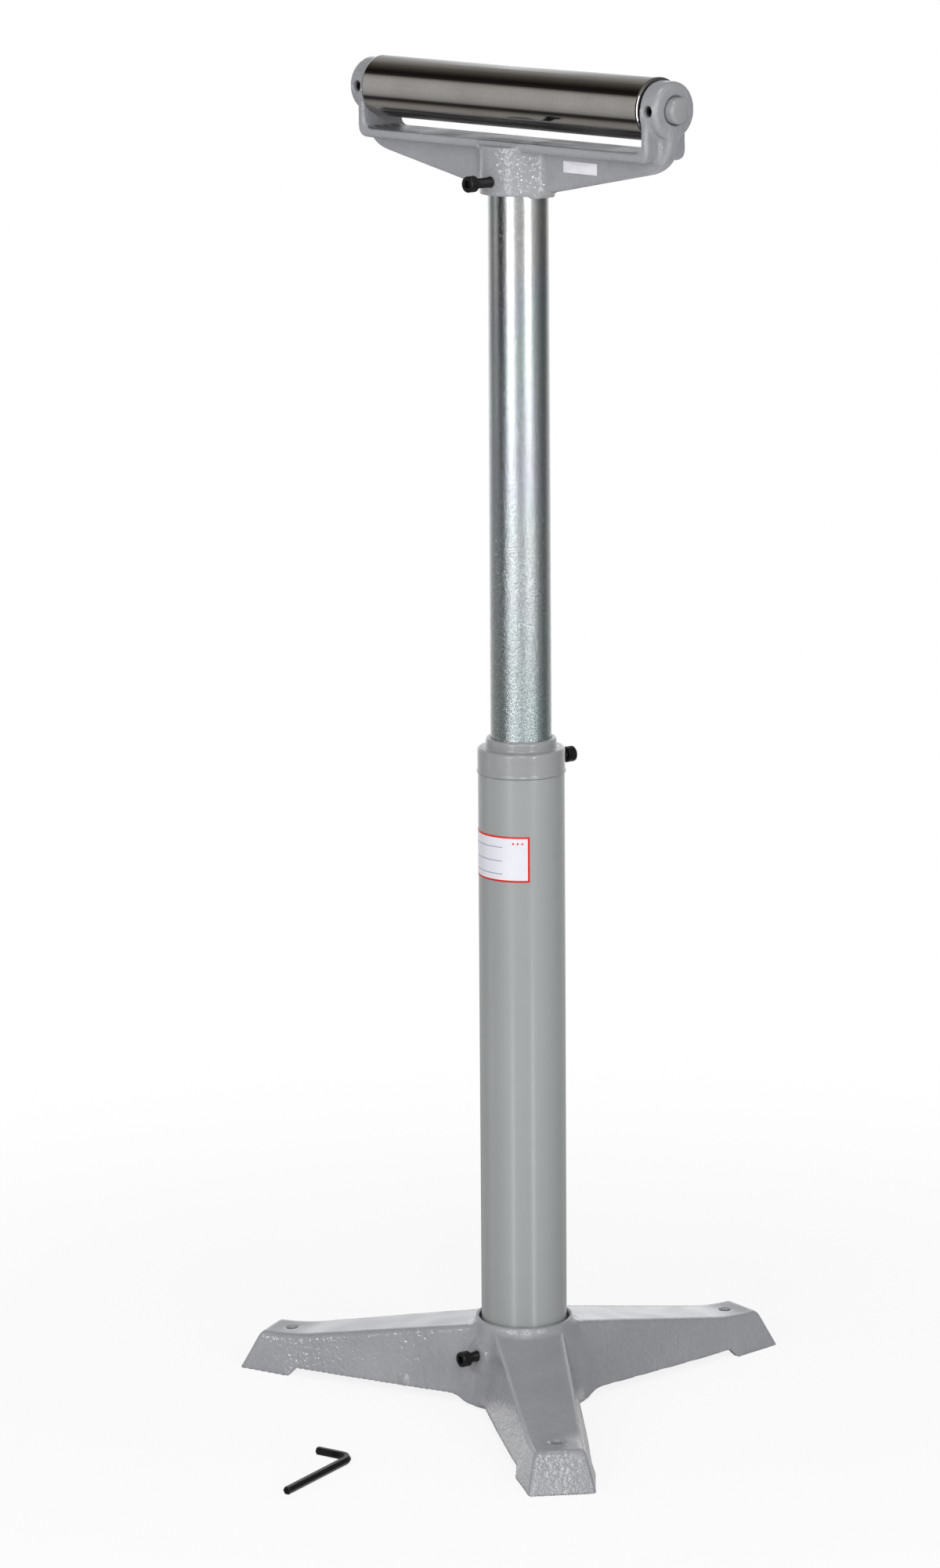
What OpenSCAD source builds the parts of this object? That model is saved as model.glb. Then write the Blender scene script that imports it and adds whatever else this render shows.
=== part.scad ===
// Roller stand. A cast base with three legs holds a painted column tube. A plated mast slides in the
// column and carries a cast head, in which a polished roller turns on two ball bearings.
// Lengths are millimetres. The column's axis is Z, the floor is z = 0 and the roller lies along X.

/* [Stand] */
// Height of the roller's top line above the floor with the mast fully raised
stand_h = 1067; // [1060:1:1090]
// Travel of the mast from there down to its lowest setting
mast_travel = 381; // [350:1:390]
// Length of mast that stays inside the column when it is fully raised
mast_overlap = 113; // [105:1:120]
// Room under the mast's end when it is fully lowered
mast_foot_room = 12; // [8:0.5:20]

/* [Base casting] */
// Reach of a leg from the column's axis to its toe on the floor
leg_reach = 242.6; // [235:0.5:255]
// Height of a leg's top face where it meets the hub
leg_root_h = 63; // [58:0.5:64]
// Width of a leg's top face at the hub
leg_root_w = 54.8; // [50:0.5:56]
// Width of a leg at its lower edge at the hub
leg_root_foot_w = 78.5; // [72:0.5:82]
// Height of the foot's flat top
foot_h = 31; // [27:0.5:34]
// Width of the foot's flat top where it starts, at the knee
foot_top_w = 41.4; // [37:0.1:43]
// Width of the flat top at its outer end
foot_end_w = 38.6; // [36:0.1:42]
// Width of the foot on the floor at its heel
heel_w = 62; // [56:0.5:64]
// Width of the foot on the floor at its toe
toe_w = 52.3; // [48:0.5:56]
// Length of the foot's flat top
foot_top_l = 26.1; // [24:0.1:30]
// Run of the sloping end face of a foot
toe_run = 15.8; // [12:0.1:20]
// Height of a leg's lower edge above the floor between hub and foot
arch_h = 7; // [5:0.1:9]
// Wall of the hollow legs
leg_wall = 7; // [6:0.1:8]
// Radius on the upper edges of the legs
leg_edge_r = 3.5; // [2.5:0.1:4]
// Height of the hub's rim
hub_h = 68.3; // [66:0.1:72]
// Wall of the hub's rim
rim_wall = 3.5; // [3:0.1:5]
// Gap between the column and the rim
rim_gap = 2; // [1.5:0.1:2.6]
// Depth of that gap
rim_depth = 7; // [4:0.1:9]
// Spread of the hub's wall from the rim to its lower edge
hub_flare = 11.5; // [8:0.1:13]
// Diameter of the anchor hole in each foot
anchor_d = 9.5; // [8:0.1:11]
// Distance of the anchor hole from the knee
anchor_run = 6.5; // [5:0.1:14]
// Diameter of the pillar inside each foot that the anchor hole goes through
anchor_boss_d = 19; // [16:0.5:22]
// Height of the base clamp screw
base_screw_h = 42; // [36:0.5:46]
// Distance of the base screw boss's face from the column's axis
base_boss_reach = 47.5; // [46:0.1:50]

/* [Column] */
// Outer diameter of the column tube
column_d = 68.4; // [66:0.1:72]
// Wall of the column tube
column_wall = 3; // [2.5:0.1:3.5]
// Height of the collar's main ring
ring_h = 20; // [18:0.1:24]
// Height of the collar's neck
neck_h = 8; // [6:0.1:10]
// Wall of the collar's neck
neck_wall = 4; // [3.5:0.1:5]
// Length of the collar's spigot inside the column tube
spigot_l = 45; // [30:0.5:60]
// Height of the collar's clamp screw above the column's top
collar_screw_up = 7.7; // [7:0.1:11]
// Distance of the collar screw boss's face from the column's axis
collar_boss_reach = 37.5; // [36:0.1:42]

/* [Mast] */
// Outer diameter of the mast
mast_d = 48; // [46:0.1:50]
// Wall of the mast
mast_wall = 3.5; // [3:0.1:4]
// Height of the guide ring at the mast's lower end
guide_h = 22; // [16:0.5:28]

/* [Head casting] */
// Height of the head from the hub's lower face to the plate's top
head_h = 41.5; // [38:0.1:46]
// Wall of the head's hub round the mast
head_hub_wall = 6; // [5.5:0.1:7]
// Metal between the mast's end and the plate's top
socket_roof = 9; // [8:0.1:11]
// Thickness of the plate
plate_t = 7; // [6:0.1:8]
// Width of the plate and of its uprights
plate_w = 42.5; // [40:0.1:43]
// Clear height between the plate and the roller
roller_gap = 8.2; // [7:0.1:10]
// Thickness of an upright
upright_t = 6.6; // [6:0.1:8]
// Gap between an upright and the roller's end
end_gap = 1; // [0.8:0.1:2]
// Thickness of the web under the plate
web_t = 12.5; // [10:0.1:14]
// Depth of the web below the plate's top beside the hub
web_root_drop = 37.5; // [35:0.1:40]
// Depth of the web below the plate's top at its far ends
web_end_drop = 12.7; // [11:0.1:16]
// Radius of the web's outer lower corners
web_corner_r = 12; // [9:0.1:14]
// Diameter of an axle boss
boss_d = 43.4; // [43:0.1:46]
// Length of an axle boss
boss_l = 16.1; // [14:0.1:18]

/* [Roller] */
// Diameter of the roller
roller_d = 48.1; // [47:0.1:50]
// Length of the roller
roller_l = 304.8; // [295:0.1:315]
// Wall of the roller between its bearings
roller_wall = 4.2; // [3.8:0.1:5]
// Diameter of the axle
axle_d = 20; // [19:0.1:21]
// Length of axle that stands out of each boss
axle_proud = 6.8; // [4:0.1:8]

/* [Bearings] */
// Outer diameter of a bearing
bearing_d = 42; // [41:0.1:42.4]
// Width of a bearing
bearing_w = 12; // [11:0.1:13]
// Depth of a bearing's face inside the roller's end
bearing_inset = 1.4; // [1:0.1:3]
// Diameter of a ball
ball_d = 6.35; // [5.8:0.05:6.5]
// Number of balls in a bearing
ball_n = 9; // [7:1:9]

/* [Screws] */
// Thread diameter of the clamp screws and the axle's set screws
screw_d = 8; // [7.6:0.1:8.4]
// Diameter of a clamp screw's head
screw_head_d = 12.5; // [12:0.1:14]
// Height of a clamp screw's head
screw_head_h = 8; // [7:0.1:9]
// Bare length of the base screw between casting and head
base_screw_bare = 8.5; // [5:0.1:12]
// Bare length of the collar screw between boss and head
collar_screw_bare = 5.8; // [3:0.1:8]
// Bare length of the head screw between casting and head
head_screw_bare = 16.4; // [12:0.1:20]
// Height of the head screw above the hub's lower face
head_screw_up = 10.6; // [9:0.1:14]
// Length of an axle set screw
set_screw_l = 8; // [7:0.1:9]
// Distance of an axle set screw from the upright's inner face
set_screw_in = 7.3; // [6.5:0.1:9]

/* [Label] */
// Width of the label round the column
label_w = 76; // [60:0.5:90]
// Height of the label
label_h = 36.5; // [30:0.1:45]
// Distance of the label's middle below the column's top
label_drop = 63.7; // [55:0.1:90]
// Width of the sticker on the web
sticker_w = 36.4; // [30:0.1:45]
// Height of the sticker
sticker_h = 8.9; // [6:0.1:10]

/* [Hex key] */
// Size of the hex key across its flats
key_af = 6; // [5:0.1:6.4]
// Length of the key's long arm
key_long_l = 90; // [80:0.5:100]
// Length of the key's short arm
key_short_l = 32; // [28:0.5:40]

/* [Hidden] */
$fn = 96;

// Clearances, and the overrun of every cut
running_fit = 0.05;
seat_gap = 0.3;
cut = 1;

// Base casting
leg_n = 3;
stand_turn = -7;
first_leg_angle = -30;
leg_spread = 360 / leg_n;
column_r = column_d / 2;
base_bore_r = column_r + running_fit;
rim_inner_r = column_r + rim_gap;
rim_outer_r = rim_inner_r + rim_wall;
rim_round = 1.5;
hub_foot_r = rim_outer_r + hub_flare;
hub_foot_h = 4;
hub_ledge_t = 4;
hub_ledge_in = 8;
column_foot_z = hub_foot_h + hub_ledge_t + seat_gap;
foot_top_r = leg_reach - toe_run;
knee_r = foot_top_r - foot_top_l;
heel_run = 3.7;
heel_r = knee_r - heel_run;
arch_run = 6.5;
arch_r = heel_r - arch_run;
leg_root_r = 30;
lower_edge_r = 1;
anchor_r = knee_r + anchor_run;
cavity_root_r = hub_foot_r + leg_wall;
base_boss_r = 10.5;
base_boss_foot_r = 14;

// Column and collar
mast_r = mast_d / 2;
column_bore_r = column_r - column_wall;
mast_low_z = column_foot_z + mast_foot_room;
mast_foot_z = mast_low_z + mast_travel;
column_top_z = mast_foot_z + mast_overlap;
column_l = column_top_z - column_foot_z;
ring_proud = 0.3;
ring_r = column_r + ring_proud;
lip_proud = 0.6;
lip_h = 2;
neck_r = mast_r + running_fit + neck_wall;
collar_round = 2;
collar_boss_r = 8.5;
collar_screw_z = column_top_z + collar_screw_up;

// Head
roller_r = roller_d / 2;
roller_z = stand_h - roller_r;
plate_top = roller_z - roller_r - roller_gap;
head_foot_z = plate_top - head_h;
head_hub_r = mast_r + head_hub_wall;
hub_blend_r = 14;
socket_top_z = plate_top - socket_roof;
mast_top_z = socket_top_z - seat_gap;
upright_in = roller_l / 2 + end_gap;
upright_out = upright_in + upright_t;
boss_out = upright_in + boss_l;
boss_r = boss_d / 2;
boss_round = 2.5;
plate_round = 2.5;
inner_corner_r = 4;
upright_corner_r = 5;
web_nose_r = 4;
web_root_x = head_hub_r + hub_blend_r;
web_slope = (web_root_drop - web_end_drop) / (boss_out - web_root_x);
head_screw_z = head_foot_z + head_screw_up;

// Roller, axle and bearings
axle_r = axle_d / 2;
axle_end = boss_out + axle_proud;
axle_chamfer = 1.5;
axle_groove = 1.2;
roller_chamfer = 0.7;
bearing_r = bearing_d / 2;
bearing_seat_r = bearing_r + running_fit;
bearing_out = roller_l / 2 - bearing_inset;
bearing_mid = bearing_out - bearing_w / 2;
pitch_r = (axle_r + bearing_r) / 2;
ball_r = ball_d / 2;
race_play = 0.08;
land = 2.4;
cage_t = 1.8;
cage_w = 8;
pocket_play = 0.12;
shield_t = 0.5;
shield_in = 0.4;
bearing_chamfer = 0.6;
spacer_wall = 2.6;

// Screws
screw_r = screw_d / 2 - running_fit;
screw_chamfer = 0.8;
socket_depth = 4;
socket_play = 0.1;
set_key_af = 4;
set_screw_x = upright_in + set_screw_in;
hole_flare = 0.5;

// Label, sticker and hex key
film_t = 0.2;
film_gap = 0.05;
sticker_x = 74.5;
sticker_drop = 16.7;
key_bend_r = 9;
key_corner_x = 21.4;
key_corner_y = -207.7;
key_turn = -75.7;

// Width of a regular hexagon across its corners from its size across the flats
function corners(af) = af / cos(30);

// Plain ring of two radii, standing on z = 0
module ring(r_out, r_in, h) {
    difference() {
        cylinder(r = r_out, h = h);
        translate([0, 0, -cut]) cylinder(r = r_in, h = h + 2 * cut);
    }
}

// Rectangle from the origin with all four corners rounded
module rounded(w, h, r) {
    translate([r, 0]) square([w - 2 * r, h]);
    translate([0, r]) square([w, h - 2 * r]);
    for (x = [r, w - r], y = [r, h - r]) translate([x, y]) circle(r);
}

// Turns a piece made along Z to lie along X, left (-1) or right (+1)
module along_x(side) {
    translate([0, 0, roller_z]) rotate([0, side * 90, 0]) children();
}

// Socket head screw along Z: its tip is at z = 0 and its head's lower face at z = shank
module cap_screw(shank) {
    color("#1c1c1c") difference() {
        union() {
            cylinder(r1 = screw_r - screw_chamfer, r2 = screw_r, h = screw_chamfer);
            translate([0, 0, screw_chamfer]) cylinder(r = screw_r, h = shank - screw_chamfer + cut);
            translate([0, 0, shank]) rotate_extrude() union() {
                square([screw_head_d / 2 - screw_chamfer, screw_head_h]);
                square([screw_head_d / 2, screw_head_h - screw_chamfer]);
                translate([screw_head_d / 2 - screw_chamfer, screw_head_h - screw_chamfer])
                    circle(screw_chamfer);
            }
        }
        translate([0, 0, shank + screw_head_h - socket_depth])
            cylinder(d = corners(key_af + socket_play), h = socket_depth + cut, $fn = 6);
    }
}

// Block between two upright sections at xa and xb. Each section is [bottom z, top z, half width at the
// bottom, half width at the top].
module tapered_block(xa, a, xb, b) {
    polyhedron(
        points = [
            [xa, -a[2], a[0]], [xa, a[2], a[0]], [xa, a[3], a[1]], [xa, -a[3], a[1]],
            [xb, -b[2], b[0]], [xb, b[2], b[0]], [xb, b[3], b[1]], [xb, -b[3], b[1]]],
        faces = [
            [0, 1, 2], [0, 2, 3], [4, 7, 6], [4, 6, 5], [1, 0, 4], [1, 4, 5],
            [3, 2, 6], [3, 6, 7], [0, 3, 7], [0, 7, 4], [2, 1, 5], [2, 5, 6]]);
}

// Balls that round the two upper edges of a leg at distance x
module upper_edges(x, z, w) {
    for (s = [-1, 1])
        translate([x, s * (w / 2 - leg_edge_r), z - leg_edge_r]) sphere(leg_edge_r, $fn = 24);
}

// Small discs that carry the two lower edges of a leg at distance x
module lower_edges(x, z, w) {
    for (s = [-1, 1])
        translate([x, s * (w / 2 - lower_edge_r), z]) cylinder(r = lower_edge_r, h = lower_edge_r, $fn = 16);
}

module leg_outside() {
    hull() {
        upper_edges(leg_root_r, leg_root_h, leg_root_w);
        upper_edges(knee_r, foot_h, foot_top_w);
        lower_edges(leg_root_r, arch_h, leg_root_foot_w);
        lower_edges(arch_r, arch_h, heel_w);
    }
    hull() {
        upper_edges(knee_r, foot_h, foot_top_w);
        upper_edges(foot_top_r - leg_edge_r / 2, foot_h, foot_end_w);
        lower_edges(arch_r, arch_h, heel_w);
        lower_edges(heel_r, 0, heel_w);
        lower_edges(leg_reach - lower_edge_r, 0, toe_w);
    }
}

// Hollow under a leg: one block to the knee and one in the foot
module leg_cavity() {
    root = [-cut, leg_root_h - leg_wall - (cavity_root_r - leg_root_r) * (leg_root_h - foot_h) / (knee_r - leg_root_r),
        leg_root_foot_w / 2 - leg_wall, leg_root_w / 2 - leg_wall];
    knee = [-cut, foot_h - leg_wall, heel_w / 2 - leg_wall, foot_top_w / 2 - leg_wall];
    toe = [-cut, foot_h - leg_wall, toe_w / 2 - leg_wall, foot_top_w / 2 - leg_wall];
    tapered_block(cavity_root_r, root, knee_r, knee);
    tapered_block(knee_r - cut, knee, foot_top_r - leg_wall, toe);
}

module hub_outside() {
    rotate_extrude() union() {
        polygon([
            [0, hub_foot_h], [hub_foot_r, hub_foot_h], [rim_outer_r, hub_h - rim_round],
            [rim_outer_r - rim_round, hub_h], [0, hub_h]]);
        translate([rim_outer_r - rim_round, hub_h - rim_round]) circle(rim_round);
    }
    translate([0, 0, base_screw_h]) rotate([90, 0, 0])
        cylinder(r1 = base_boss_foot_r, r2 = base_boss_r, h = base_boss_reach);
}

module base_casting() {
    color("#a3a7aa") rotate(stand_turn) difference() {
        union() {
            hub_outside();
            for (i = [0 : leg_n - 1]) rotate(first_leg_angle + i * leg_spread) leg_outside();
        }
        translate([0, 0, hub_foot_h + hub_ledge_t]) cylinder(r = base_bore_r, h = hub_h);
        translate([0, 0, hub_h - rim_depth]) cylinder(r = rim_inner_r, h = rim_depth + cut);
        translate([0, 0, -cut]) cylinder(r = base_bore_r - hub_ledge_in, h = hub_h);
        translate([0, 0, -cut]) cylinder(r = base_bore_r, h = hub_foot_h + cut);
        translate([0, 0, base_screw_h]) rotate([90, 0, 0]) cylinder(d = screw_d, h = hub_foot_r + cut);
        for (i = [0 : leg_n - 1]) rotate(first_leg_angle + i * leg_spread) {
            difference() {
                leg_cavity();
                translate([anchor_r, 0, -2 * cut]) cylinder(d = anchor_boss_d, h = foot_h);
            }
            translate([anchor_r, 0, -cut]) cylinder(d = anchor_d, h = foot_h + 2 * cut);
        }
    }
}

module base_clamp_screw() {
    tip = column_r + seat_gap;
    rotate(stand_turn) translate([0, -tip, base_screw_h]) rotate([90, 0, 0])
        cap_screw(base_boss_reach + base_screw_bare - tip);
}

module column_tube() {
    color("#9ba1a1") translate([0, 0, column_foot_z]) ring(column_r, column_bore_r, column_l);
}

module collar() {
    color("#a3a8a8") translate([0, 0, column_top_z]) rotate(stand_turn) difference() {
        union() {
            rotate_extrude() union() {
                square([ring_r - collar_round, ring_h]);
                square([ring_r, ring_h - collar_round]);
                translate([ring_r - collar_round, ring_h - collar_round]) circle(collar_round);
                square([ring_r + lip_proud, lip_h]);
                translate([0, ring_h - collar_round]) square([neck_r, neck_h]);
                square([neck_r - collar_round, ring_h + neck_h]);
                translate([neck_r - collar_round, ring_h + neck_h - collar_round]) circle(collar_round);
            }
            translate([0, 0, -spigot_l]) cylinder(r = column_bore_r - running_fit, h = spigot_l + cut);
            intersection() {
                translate([0, 0, collar_screw_z - column_top_z]) rotate([-90, 0, 0])
                    cylinder(r = collar_boss_r, h = collar_boss_reach);
                cylinder(r = collar_boss_reach + cut, h = ring_h);
            }
        }
        translate([0, 0, -spigot_l - cut])
            cylinder(r = mast_r + running_fit, h = spigot_l + ring_h + neck_h + 2 * cut);
        translate([0, 0, collar_screw_z - column_top_z]) rotate([-90, 0, 0])
            cylinder(d = screw_d, h = collar_boss_reach + cut);
    }
}

module collar_clamp_screw() {
    tip = mast_r + seat_gap;
    rotate(stand_turn) translate([0, tip, collar_screw_z]) rotate([-90, 0, 0])
        cap_screw(collar_boss_reach + collar_screw_bare - tip);
}

// Thin printed film wrapped round the column, centred above the base screw
module column_label() {
    wrap = label_w / column_r * 180 / PI;
    color("white") translate([0, 0, column_top_z - label_drop - label_h / 2]) rotate(stand_turn - 90 - wrap / 2)
        rotate_extrude(angle = wrap) translate([column_r + film_gap, 0]) square([film_t, label_h]);
}

module mast_tube() {
    color("#b9bec0") translate([0, 0, mast_foot_z]) ring(mast_r, mast_r - mast_wall, mast_top_z - mast_foot_z);
}

module mast_guide_ring() {
    color("#3a3a3c") translate([0, 0, mast_foot_z])
        ring(column_bore_r - running_fit, mast_r + running_fit, guide_h);
}

// Plan of the web and hub, with a fillet of hub_blend_r in each of their four corners
module web_plan() {
    blend_y = web_t / 2 + hub_blend_r;
    blend_x = sqrt(pow(head_hub_r + hub_blend_r, 2) - pow(blend_y, 2));
    circle(head_hub_r);
    translate([-boss_out, -web_t / 2]) rounded(2 * boss_out, web_t, web_nose_r);
    for (sx = [-1, 1], sy = [-1, 1]) scale([sx, sy]) difference() {
        polygon([[0, 0], [blend_x, 0], [blend_x, blend_y]]);
        translate([blend_x, blend_y]) circle(hub_blend_r);
    }
}

// Side view of the web and the ribs that climb to the bosses, right half
module web_side_half() {
    centre_x = boss_out - web_corner_r;
    tilt = atan(web_slope);
    centre_z = plate_top - web_end_drop - web_slope * web_corner_r + web_corner_r / cos(tilt);
    polygon([
        [0, head_foot_z], [web_root_x - hub_blend_r / 2, head_foot_z],
        [web_root_x, plate_top - web_root_drop],
        [centre_x + web_corner_r * sin(tilt), centre_z - web_corner_r * cos(tilt)],
        [centre_x, centre_z], [boss_out, centre_z], [boss_out, roller_z], [upright_in + cut, roller_z],
        [upright_in + cut, plate_top - cut], [0, plate_top - cut]]);
    translate([centre_x, centre_z]) circle(web_corner_r);
}

// Side view of the plate and its uprights, right half, with the inner corner filled by a fillet
module cradle_side_half() {
    plate_foot = plate_top - plate_t;
    difference() {
        union() {
            square_from(0, plate_foot, upright_out - upright_corner_r, plate_top);
            square_from(0, plate_foot + upright_corner_r, upright_out, plate_top);
            translate([upright_out - upright_corner_r, plate_foot + upright_corner_r]) circle(upright_corner_r);
            square_from(upright_in, plate_top - cut, upright_out, roller_z);
            square_from(upright_in - inner_corner_r, plate_top - cut, upright_in, plate_top + inner_corner_r);
        }
        translate([upright_in - inner_corner_r, plate_top + inner_corner_r]) circle(inner_corner_r);
    }
}

// Rectangle between two corners
module square_from(xa, za, xb, zb) {
    translate([xa, za]) square([xb - xa, zb - za]);
}

// End view of the plate and uprights: straight sides with rounded lower edges
module cradle_end() {
    plate_foot = plate_top - plate_t;
    translate([-plate_w / 2, plate_foot]) rounded(plate_w, roller_z - plate_foot + plate_round, plate_round);
}

module boss(side) {
    along_x(side) translate([0, 0, upright_in]) rotate_extrude() union() {
        square([boss_r - boss_round, boss_l]);
        square([boss_r, boss_l - boss_round]);
        translate([boss_r - boss_round, boss_l - boss_round]) circle(boss_round);
    }
}

// Lays a side view out along Y, centred on the roller's axis
module side_prism(w) {
    rotate([90, 0, 0]) linear_extrude(w, center = true) children();
}

module head_casting() {
    color("#a6aaac") difference() {
        union() {
            intersection() {
                translate([0, 0, head_foot_z]) linear_extrude(roller_z - head_foot_z) web_plan();
                side_prism(2 * head_hub_r) for (s = [0, 1]) mirror([s, 0]) web_side_half();
            }
            intersection() {
                side_prism(plate_w) for (s = [0, 1]) mirror([s, 0]) cradle_side_half();
                rotate([90, 0, 90]) linear_extrude(2 * boss_out, center = true) cradle_end();
            }
            boss(-1);
            boss(1);
        }
        translate([0, 0, head_foot_z - cut])
            cylinder(r = mast_r + running_fit, h = socket_top_z - head_foot_z + cut);
        translate([0, 0, head_screw_z]) rotate([90, 0, 0]) cylinder(d = screw_d, h = head_hub_r + cut);
        for (s = [-1, 1]) {
            along_x(s) translate([0, 0, upright_in - cut]) cylinder(r = axle_r + running_fit, h = boss_l + 2 * cut);
            along_x(s) translate([0, 0, boss_out - axle_groove])
                cylinder(r = axle_r + axle_groove, h = axle_groove + cut);
            translate([s * set_screw_x, 0, roller_z]) rotate([90, 0, 0]) {
                cylinder(d = screw_d, h = boss_r + cut);
                translate([0, 0, boss_r - 2 * hole_flare])
                    cylinder(d1 = screw_d, d2 = screw_d + 4 * hole_flare, h = 3 * hole_flare);
            }
        }
    }
}

module head_clamp_screw() {
    tip = mast_r + seat_gap;
    translate([0, -tip, head_screw_z]) rotate([90, 0, 0]) cap_screw(head_hub_r + head_screw_bare - tip);
}

module head_sticker() {
    color("white") translate([sticker_x - sticker_w / 2, -web_t / 2 - film_gap - film_t,
        plate_top - sticker_drop - sticker_h / 2]) cube([sticker_w, film_t, sticker_h]);
}

module axle() {
    color("#a0a5a6") along_x(1) translate([0, 0, -axle_end]) rotate_extrude() polygon([
        [0, 0], [axle_r - axle_chamfer, 0], [axle_r, axle_chamfer], [axle_r, 2 * axle_end - axle_chamfer],
        [axle_r - axle_chamfer, 2 * axle_end], [0, 2 * axle_end]]);
}

module axle_set_screw(side) {
    tip = axle_r + seat_gap;
    color("#1c1c1c") translate([side * set_screw_x, -tip, roller_z]) rotate([90, 0, 0]) difference() {
        union() {
            cylinder(r1 = screw_r - screw_chamfer, r2 = screw_r, h = screw_chamfer);
            translate([0, 0, screw_chamfer]) cylinder(r = screw_r, h = set_screw_l - screw_chamfer);
        }
        translate([0, 0, set_screw_l - socket_depth])
            cylinder(d = corners(set_key_af), h = socket_depth + cut, $fn = 6);
    }
}

module axle_spacer(side) {
    color("#8e9293") along_x(side) translate([0, 0, bearing_out + running_fit])
        ring(axle_r + spacer_wall, axle_r + running_fit, upright_in - bearing_out - 2 * running_fit);
}

module roller_tube() {
    half = roller_l / 2;
    bore_r = roller_r - roller_wall;
    seat = half - bearing_inset - bearing_w;
    end = [
        [bore_r, seat], [bearing_seat_r, seat], [bearing_seat_r, half], [roller_r - roller_chamfer, half],
        [roller_r, half - roller_chamfer]];
    color("#4b4743") along_x(1) rotate_extrude()
        polygon(concat(end, [for (i = [len(end) - 1 : -1 : 0]) [end[i][0], -end[i][1]]]));
}

// Half section of a bearing ring between two radii, with the groove that the balls run in
module race(r_in, r_out) {
    difference() {
        translate([r_in, -bearing_w / 2]) rounded(r_out - r_in, bearing_w, bearing_chamfer);
        translate([pitch_r, 0]) circle(ball_r + race_play);
    }
}

module bearing_inner_ring(side) {
    color("#9a9ea0") along_x(side) translate([0, 0, bearing_mid]) rotate_extrude()
        race(axle_r + running_fit, pitch_r - land);
}

module bearing_outer_ring(side) {
    color("#9a9ea0") along_x(side) translate([0, 0, bearing_mid]) rotate_extrude()
        race(pitch_r + land, bearing_r);
}

module bearing_cage(side) {
    color("#b08d57") along_x(side) translate([0, 0, bearing_mid]) difference() {
        translate([0, 0, -cage_w / 2]) ring(pitch_r + cage_t / 2, pitch_r - cage_t / 2, cage_w);
        for (i = [0 : ball_n - 1]) rotate(i * 360 / ball_n) translate([pitch_r - cage_t, 0, 0])
            rotate([0, 90, 0]) cylinder(r = ball_r + pocket_play, h = 2 * cage_t);
    }
}

module bearing_balls(side) {
    color("#c8cbcc") along_x(side) translate([0, 0, bearing_mid])
        for (i = [0 : ball_n - 1]) rotate(i * 360 / ball_n) translate([pitch_r, 0, 0]) sphere(ball_r, $fn = 48);
}

// The two pressed shields of one bearing, one near each face
module bearing_shields(side) {
    color("#3b3b3d") along_x(side) translate([0, 0, bearing_mid])
        for (s = [-1, 1]) translate([0, 0, s * (bearing_w / 2 - shield_in - shield_t / 2) - shield_t / 2])
            ring(pitch_r + land - running_fit, pitch_r - land + seat_gap, shield_t);
}

// Bent hexagon bar lying on the floor: both arms start at the bend
module hex_key() {
    color("#1c1c1c") translate([key_corner_x, key_corner_y, key_af / 2]) rotate(key_turn) {
        translate([key_bend_r, 0, 0]) rotate([0, 90, 0]) rotate(30)
            linear_extrude(key_long_l - key_bend_r) circle(d = corners(key_af), $fn = 6);
        translate([0, -key_bend_r, 0]) rotate([90, 0, 0])
            linear_extrude(key_short_l - key_bend_r) circle(d = corners(key_af), $fn = 6);
        translate([key_bend_r, -key_bend_r, 0]) rotate(90) rotate_extrude(angle = 90)
            translate([key_bend_r, 0]) circle(d = corners(key_af), $fn = 6);
    }
}

base_casting();
base_clamp_screw();
column_tube();
collar();
collar_clamp_screw();
column_label();
mast_tube();
mast_guide_ring();
head_casting();
head_clamp_screw();
head_sticker();
axle();
axle_set_screw(-1);  // axle_set_screw_left
axle_set_screw(1);  // axle_set_screw_right
axle_spacer(-1);  // axle_spacer_left
axle_spacer(1);  // axle_spacer_right
roller_tube();
bearing_inner_ring(-1);  // bearing_inner_ring_left
bearing_inner_ring(1);  // bearing_inner_ring_right
bearing_outer_ring(-1);  // bearing_outer_ring_left
bearing_outer_ring(1);  // bearing_outer_ring_right
bearing_cage(-1);  // bearing_cage_left
bearing_cage(1);  // bearing_cage_right
bearing_balls(-1);  // bearing_balls_left
bearing_balls(1);  // bearing_balls_right
bearing_shields(-1);  // bearing_shields_left
bearing_shields(1);  // bearing_shields_right
hex_key();
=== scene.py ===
"""Looks of the roller stand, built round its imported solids. Lengths are millimetres until a mesh is made, +Z
is up, the floor is z = 0, the column's axis is x = y = 0 and the roller lies along X."""

import math

import bpy
import numpy as np
from mathutils import Matrix


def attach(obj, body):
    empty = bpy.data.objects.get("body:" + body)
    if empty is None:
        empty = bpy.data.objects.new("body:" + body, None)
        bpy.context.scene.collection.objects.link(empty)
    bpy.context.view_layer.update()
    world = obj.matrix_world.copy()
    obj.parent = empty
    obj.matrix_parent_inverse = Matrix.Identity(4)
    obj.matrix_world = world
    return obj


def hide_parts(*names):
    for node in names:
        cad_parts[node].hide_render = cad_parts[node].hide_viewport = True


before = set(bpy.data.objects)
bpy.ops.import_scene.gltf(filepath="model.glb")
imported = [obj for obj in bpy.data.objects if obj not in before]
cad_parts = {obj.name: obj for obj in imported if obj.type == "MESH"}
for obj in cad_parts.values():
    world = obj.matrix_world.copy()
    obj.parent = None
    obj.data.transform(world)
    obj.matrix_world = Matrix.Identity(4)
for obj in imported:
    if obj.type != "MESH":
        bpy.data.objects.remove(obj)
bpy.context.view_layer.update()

# Room. The stand is on a pale sweep in a plain studio, seen from its near right at chest height. Soft boxes
# and low strips stand either side of the camera, a key lamp above it and one lamp overhead. The bands that
# the roller and the mast show are painted on the world, in the directions that they mirror to the camera.
CAMERA_PLACE = (3.0414, -2.9166, 1.4246)
CAMERA_DEGREES, YAW_DEGREES, PITCH_DEGREES, ROLL_DEGREES = 46.2, -0.55, 12.32, 0.42
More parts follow.
